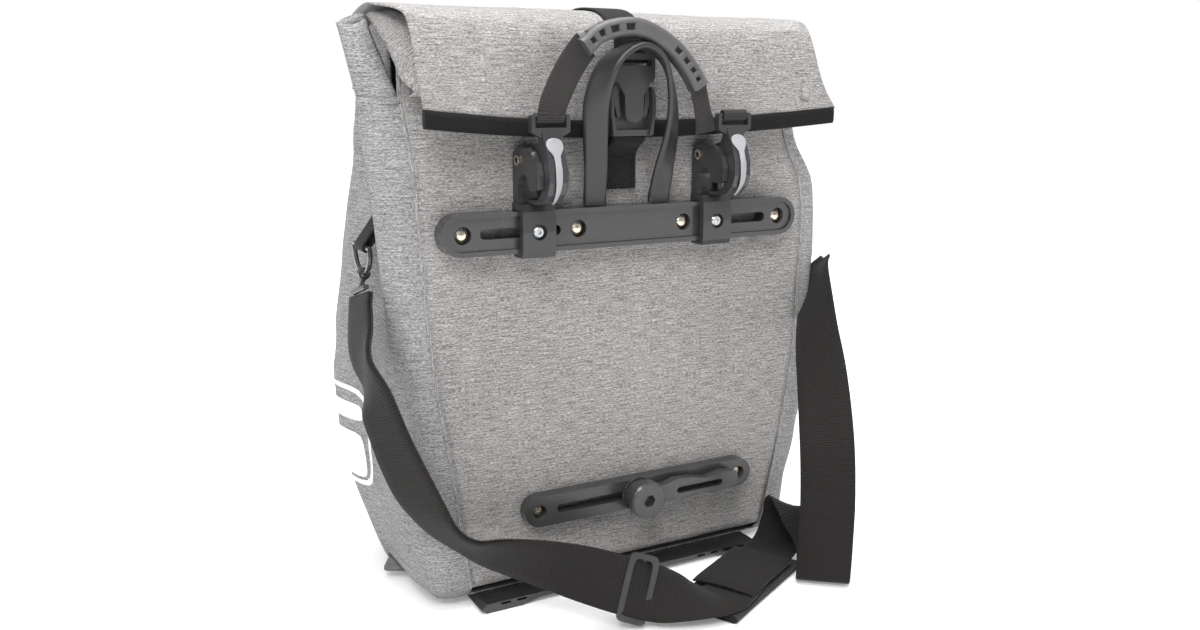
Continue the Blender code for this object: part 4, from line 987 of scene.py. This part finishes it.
# ---------------------------------------------------------------- shoulder strap
LEFT_STRAP = [
    ((-0.1775, 0.033, 0.22), (-0.05, 0.98, -0.1)), ((-0.18, 0.0285, 0.207), (-0.05, 0.98, -0.14)),
    ((-0.1835, 0.015, 0.191), (-0.05, 0.98, -0.18)), ((-0.185, -0.002, 0.175), (0.1, 0.97, -0.22)),
    ((-0.1835, -0.016, 0.158), (-0.27, 0.91, -0.3)), ((-0.178, -0.022, 0.137), (-0.33, 0.87, -0.36)),
    ((-0.17, -0.024, 0.115), (-0.39, 0.85, -0.35)), ((-0.16, -0.023, 0.093), (-0.36, 0.86, -0.38)),
    ((-0.147, -0.024, 0.072), (-0.05, 0.87, -0.5)), ((-0.129, -0.031, 0.058), (0.38, 0.62, -0.68)),
    ((-0.106, -0.04, 0.051), (0.27, 0.4, -0.87)), ((-0.082, -0.052, 0.045), (0.05, 0.2, -0.98)),
    ((-0.06, -0.062, 0.038), (-0.2, -0.05, -0.97)), ((-0.04, -0.069, 0.03), (-0.35, -0.25, -0.9)),
]
MIDDLE_STRAP = [
    ((-0.0185, -0.0745, 0.0215), (-0.52, -0.36, -0.76)), ((-0.002, -0.079, 0.017), (-0.6, -0.66, -0.44)),
    ((0.014, -0.0825, 0.0125), (-0.5, -0.85, -0.12)), ((0.03, -0.082, 0.0085), (-0.1, -0.99, 0)),
    ((0.045, -0.074, 0.0078), (0.3, -0.95, 0)),
]
PAD_ACROSS = (0.48, -0.88, 0)
PAD_CROSSING = [((0.067, -0.059, 0.0076), (0.44, -0.9, 0))]
RIGHT_STRAP = [
    ((0.09, -0.045, 0.008), (0.48, -0.88, 0)), ((0.108, -0.035, 0.0084), (0.48, -0.88, 0)),
    ((0.122, -0.028, 0.013), (0.5, -0.86, 0)), ((0.13, -0.0245, 0.025), (0.52, -0.85, 0)),
    ((0.13, -0.029, 0.037), (0.56, -0.83, 0)), ((0.13, -0.043, 0.04), (0.62, -0.78, 0)),
    ((0.1315, -0.057, 0.032), (0.7, -0.71, 0)), ((0.129, -0.07, 0.019), (0.76, -0.65, 0)),
    ((0.1229, -0.0785, 0.0072), (0.77, -0.64, 0)), ((0.1189, -0.0833, 0.003), (0.77, -0.64, 0)),
    ((0.116, -0.0868, 0.0052), (0.77, -0.64, 0)), ((0.1152, -0.0882, 0.011), (0.77, -0.64, 0)),
    ((0.115, -0.0892, 0.035), (0.77, -0.64, 0)), ((0.1153, -0.089, 0.068), (0.77, -0.64, 0.08)),
    ((0.1185, -0.082, 0.105), (0.72, -0.69, 0.08)), ((0.132, -0.058, 0.144), (0.48, -0.86, 0.14)),
    ((0.148, -0.03, 0.174), (0.13, -0.98, 0.18)), ((0.169, 0, 0.203), (-0.2, -0.96, 0.16)),
    ((0.1785, 0.015, 0.212), (-0.1, -0.98, 0.1)),
]


def shoulder_strap():
    stations = LEFT_STRAP + MIDDLE_STRAP + PAD_CROSSING + RIGHT_STRAP
    strap, centres = ribbon("shoulder_strap", stations, STRAP_WIDTH, 0.0017, "strap", 5)
    inner, _ = ribbon("strap_return", LEFT_STRAP[:-1], STRAP_WIDTH - 0.001, 0.0016,
                      "brown_webbing", 5, lift=0.0022)
    pad = shoulder_pad()
    sleeve = pad_sleeve()
    slider = strap_slider()
    put(strap, "bag", "strap_webbing", "strap_left", "strap_middle", "strap_right")
    put(inner, "bag", "strap_webbing")
    put(pad, "bag", "brown_webbing", "shoulder_pad")
    put(sleeve, "bag", "brown_webbing")
    put(slider, "bag", "buckle_plastic", "strap_slider")


def shoulder_pad():
    stations = level_band([(0.017, -0.0826, 0.0031), (0.048, -0.066, 0.0031),
                           (0.078, -0.0505, 0.0031), (0.109, -0.0344, 0.0031)], PAD_ACROSS)
    pad, _ = ribbon("shoulder_pad_soft", stations, 0.05, 0.0055, "pad", 8)
    return pad


def pad_sleeve():
    stations = level_band([(0.04, -0.0705, 0.0092), (0.048, -0.0662, 0.0099),
                           (0.068, -0.0556, 0.0099), (0.09, -0.044, 0.01),
                           (0.098, -0.0398, 0.0098)], PAD_ACROSS)
    sleeve, _ = ribbon("pad_sleeve", stations, 0.047, 0.0014, "strap", 5, crown=-0.0015)
    return sleeve


def flat_ring(name, centre, side, ahead, half_w, half_l, wide, thick, material):
    """Rounded rectangular ring of flat section, lying in the plane of side and ahead."""
    normal = ahead.cross(side).normalized()
    rows = []
    for k in range(49):
        a = math.tau * k / 48
        ca, sa = math.cos(a), math.sin(a)
        squared = squareness(a, 7)
        row = []
        for shrink, rise in ((0, -0.5), (0, 0.35), (0.15, 0.5), (0.85, 0.5), (1, 0.35), (1, -0.5)):
            across = (half_w - wide * shrink) * squared * ca
            length = (half_l - wide * shrink) * squared * sa
            row.append(centre + side * across + ahead * length + normal * thick * rise)
        rows.append(row)
    return grid_piece(name, rows, [material], closed=True, angle=40)


def strap_slider():
    """Three-bar slider: a flat frame and its middle bar, threaded by the webbing."""
    end, side = Vector(LEFT_STRAP[-1][0]), Vector(LEFT_STRAP[-1][1]).normalized()
    start = Vector(MIDDLE_STRAP[0][0])
    centre = place(*(end.lerp(start, 0.5)))
    ahead = (start - end).normalized()
    normal = ahead.cross(side).normalized()
    side = normal.cross(ahead).normalized()
    half_w, half_l = STRAP_WIDTH / 2 + 0.004, 0.011
    frame_bar = flat_ring("slider_frame", centre, side, ahead, half_w, half_l, 0.004, 0.003, "buckle")
    bar = [((p.x, p.y - BACK_Y, p.z), ahead) for p in
           (centre + side * half_w * t + normal * 0.0016 for t in (-0.95, -0.5, 0, 0.5, 0.95))]
    middle, _ = ribbon("slider_bar", bar, 0.0048, 0.0022, "buckle", 4)
    middle.parent = frame_bar
    return frame_bar


# ---------------------------------------------------------------- carried-over parts
FINISHES = {
    "rail": ("top_rail", "lower_carriage", "base_runner_outer", "base_runner_rack",
             "d_ring_left", "d_ring_right"),
    "buckle": ("lower_rail", "lower_hook", "lower_knob", "snap_hook_left", "snap_hook_right",
               "buckle_female", "buckle_male", "buckle_prong_left", "buckle_prong_right"),
    "hook": ("hook_left", "hook_right", "lever_left", "lever_right", "tube_insert_left",
             "tube_insert_right"),
    "brass": ("rail_rivet_1", "rail_rivet_2", "rail_rivet_3", "rail_rivet_4",
              "lower_rail_screw_1", "lower_rail_screw_2", "lever_pin_left", "lever_pin_right"),
    "zinc": ("clip_screw_left", "clip_screw_right"),
    "board": ("stiffener_board",),
}
BEVELS = {"rail": 0.0009, "buckle": 0.0006, "hook": 0.0006, "brass": 0.0002, "zinc": 0.0002,
          "board": 0.0004}


def finish_parts():
    """Rounded edges and procedural materials for the parts carried over from the frame."""
    for finish, names in FINISHES.items():
        for name in names:
            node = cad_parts[name]
            for slot in node.material_slots:
                slot.material = MATERIALS[finish]
            bevel = node.modifiers.new("edge", "BEVEL")
            bevel.width = BEVELS[finish]
            bevel.segments = 2
            bevel.limit_method = "ANGLE"
            bevel.angle_limit = math.radians(35)
            bevel.harden_normals = False


# y, z and half width down the lever's face
INLAY_LINE = [(-0.0386, 0.3198, 0.0014), (-0.0389, 0.3191, 0.0038), (-0.0395, 0.3177, 0.0052),
              (-0.0405, 0.3157, 0.0057), (-0.0419, 0.3133, 0.0052), (-0.0431, 0.3112, 0.0036),
              (-0.044, 0.309, 0.0022), (-0.0454, 0.3055, 0.002), (-0.0467, 0.3015, 0.0022),
              (-0.0471, 0.297, 0.0022), (-0.0469, 0.2925, 0.002), (-0.0456, 0.2882, 0.0017),
              (-0.0434, 0.2847, 0.0013), (-0.0404, 0.2816, 0.0009), (-0.0374, 0.2799, 0.0005)]


def lever_inlays():
    """Pale soft-touch inlay down each lever: a round head, a narrow neck and a tail."""
    last = len(INLAY_LINE) - 1
    for side, x in HOOK_X.items():
        rows = []
        for i, (y, z, half) in enumerate(INLAY_LINE):
            before, after = INLAY_LINE[max(i - 1, 0)], INLAY_LINE[min(i + 1, last)]
            along = Vector((after[0] - before[0], after[1] - before[1])).normalized()
            out = Vector((along.y, -along.x))
            rim = min(0.0005, 0.4 * half)
            row = []
            for a, rise in ((-half, 0.0003), (-half, 0.0007), (-half + rim, 0.001), (0, 0.0011),
                            (half - rim, 0.001), (half, 0.0007), (half, 0.0003)):
                row.append(place(x + a, y + out.x * rise, z + out.y * rise))
            rows.append(row)
        inlay = grid_piece(f"inlay_{side}", rows, ["inlay"], closed=True, capped=True, angle=50)
        put(inlay, f"{side}_lever", "inlay_grey", f"lever_inlay_{side}")


def rail_ridges():
    """Fine raised lines along both edges of the top rail's face."""
    for name, rise in (("upper", 0.0112), ("lower", -0.0112)):
        points = [(x, -0.0127, RAIL_Z + rise) for x in (-0.124, -0.04, 0.04, 0.124)]
        ridge, _ = ribbon(f"rail_ridge_{name}", level_band(points, (0, 0, 1)), 0.0012, 0.0005,
                          "rail", 3)
        put(ridge, "bag", "black_plastic")


def ring_tabs():
    """Webbing folded round each D-ring's straight bar and sewn into the gusset's fold."""
    for side, sign in SIDES.items():
        path = [(0.156, 0.268), (0.16, 0.259), (0.1665, 0.25), (0.17, 0.2462),
                (0.1724, 0.249), (0.169, 0.2545), (0.159, 0.268)]
        stations = level_band([(sign * x, 0.048, z) for x, z in path], REARWARD)
        tab, _ = ribbon(f"ring_loop_{side}", stations, 0.02, 0.0011, "black_webbing", 5)
        put(tab, "bag", "black_webbing", f"ring_tab_{side}")


def add_floor():
    mesh = bpy.data.meshes.new("floor")
    reach = 6.0
    corners = [(x * reach, y * reach, 0) for x, y in ((-1, -1), (1, -1), (1, 1), (-1, 1))]
    mesh.from_pydata(corners, [], [(0, 1, 2, 3)])
    g = Graph(bpy.data.materials.new("floor_white"))
    # a lit sweep: the floor stays white beyond the reach of the lamps
    away = g.node("ShaderNodeVectorMath", {0: g.coordinates("Object")},
                  operation="LENGTH").outputs["Value"]
    glow = g.remap(away, 0.4, 1.1, 0.16, 0.66)
    mesh.materials.append(g.feed(Base_Color=(0.9, 0.9, 0.9, 1), Roughness=0.9,
                                 Specular_IOR_Level=0, Emission_Color=WHITE,
                                 Emission_Strength=glow))
    floor = bpy.data.objects.new("floor", mesh)
    bpy.context.scene.collection.objects.link(floor)


add_camera()
add_studio()
add_floor()
shoulder_strap()
fabric_body()
side_lap()
hem_lines()
reflective_print()
roll_cloth()
roll_inner()
roll_ends()
hem_binding()
closure_webbing()
handle_grip()
handle_webbing()
rubber_loop()
anchor_patch()
rear_anchor()
finish_parts()
lever_inlays()
rail_ridges()
ring_tabs()
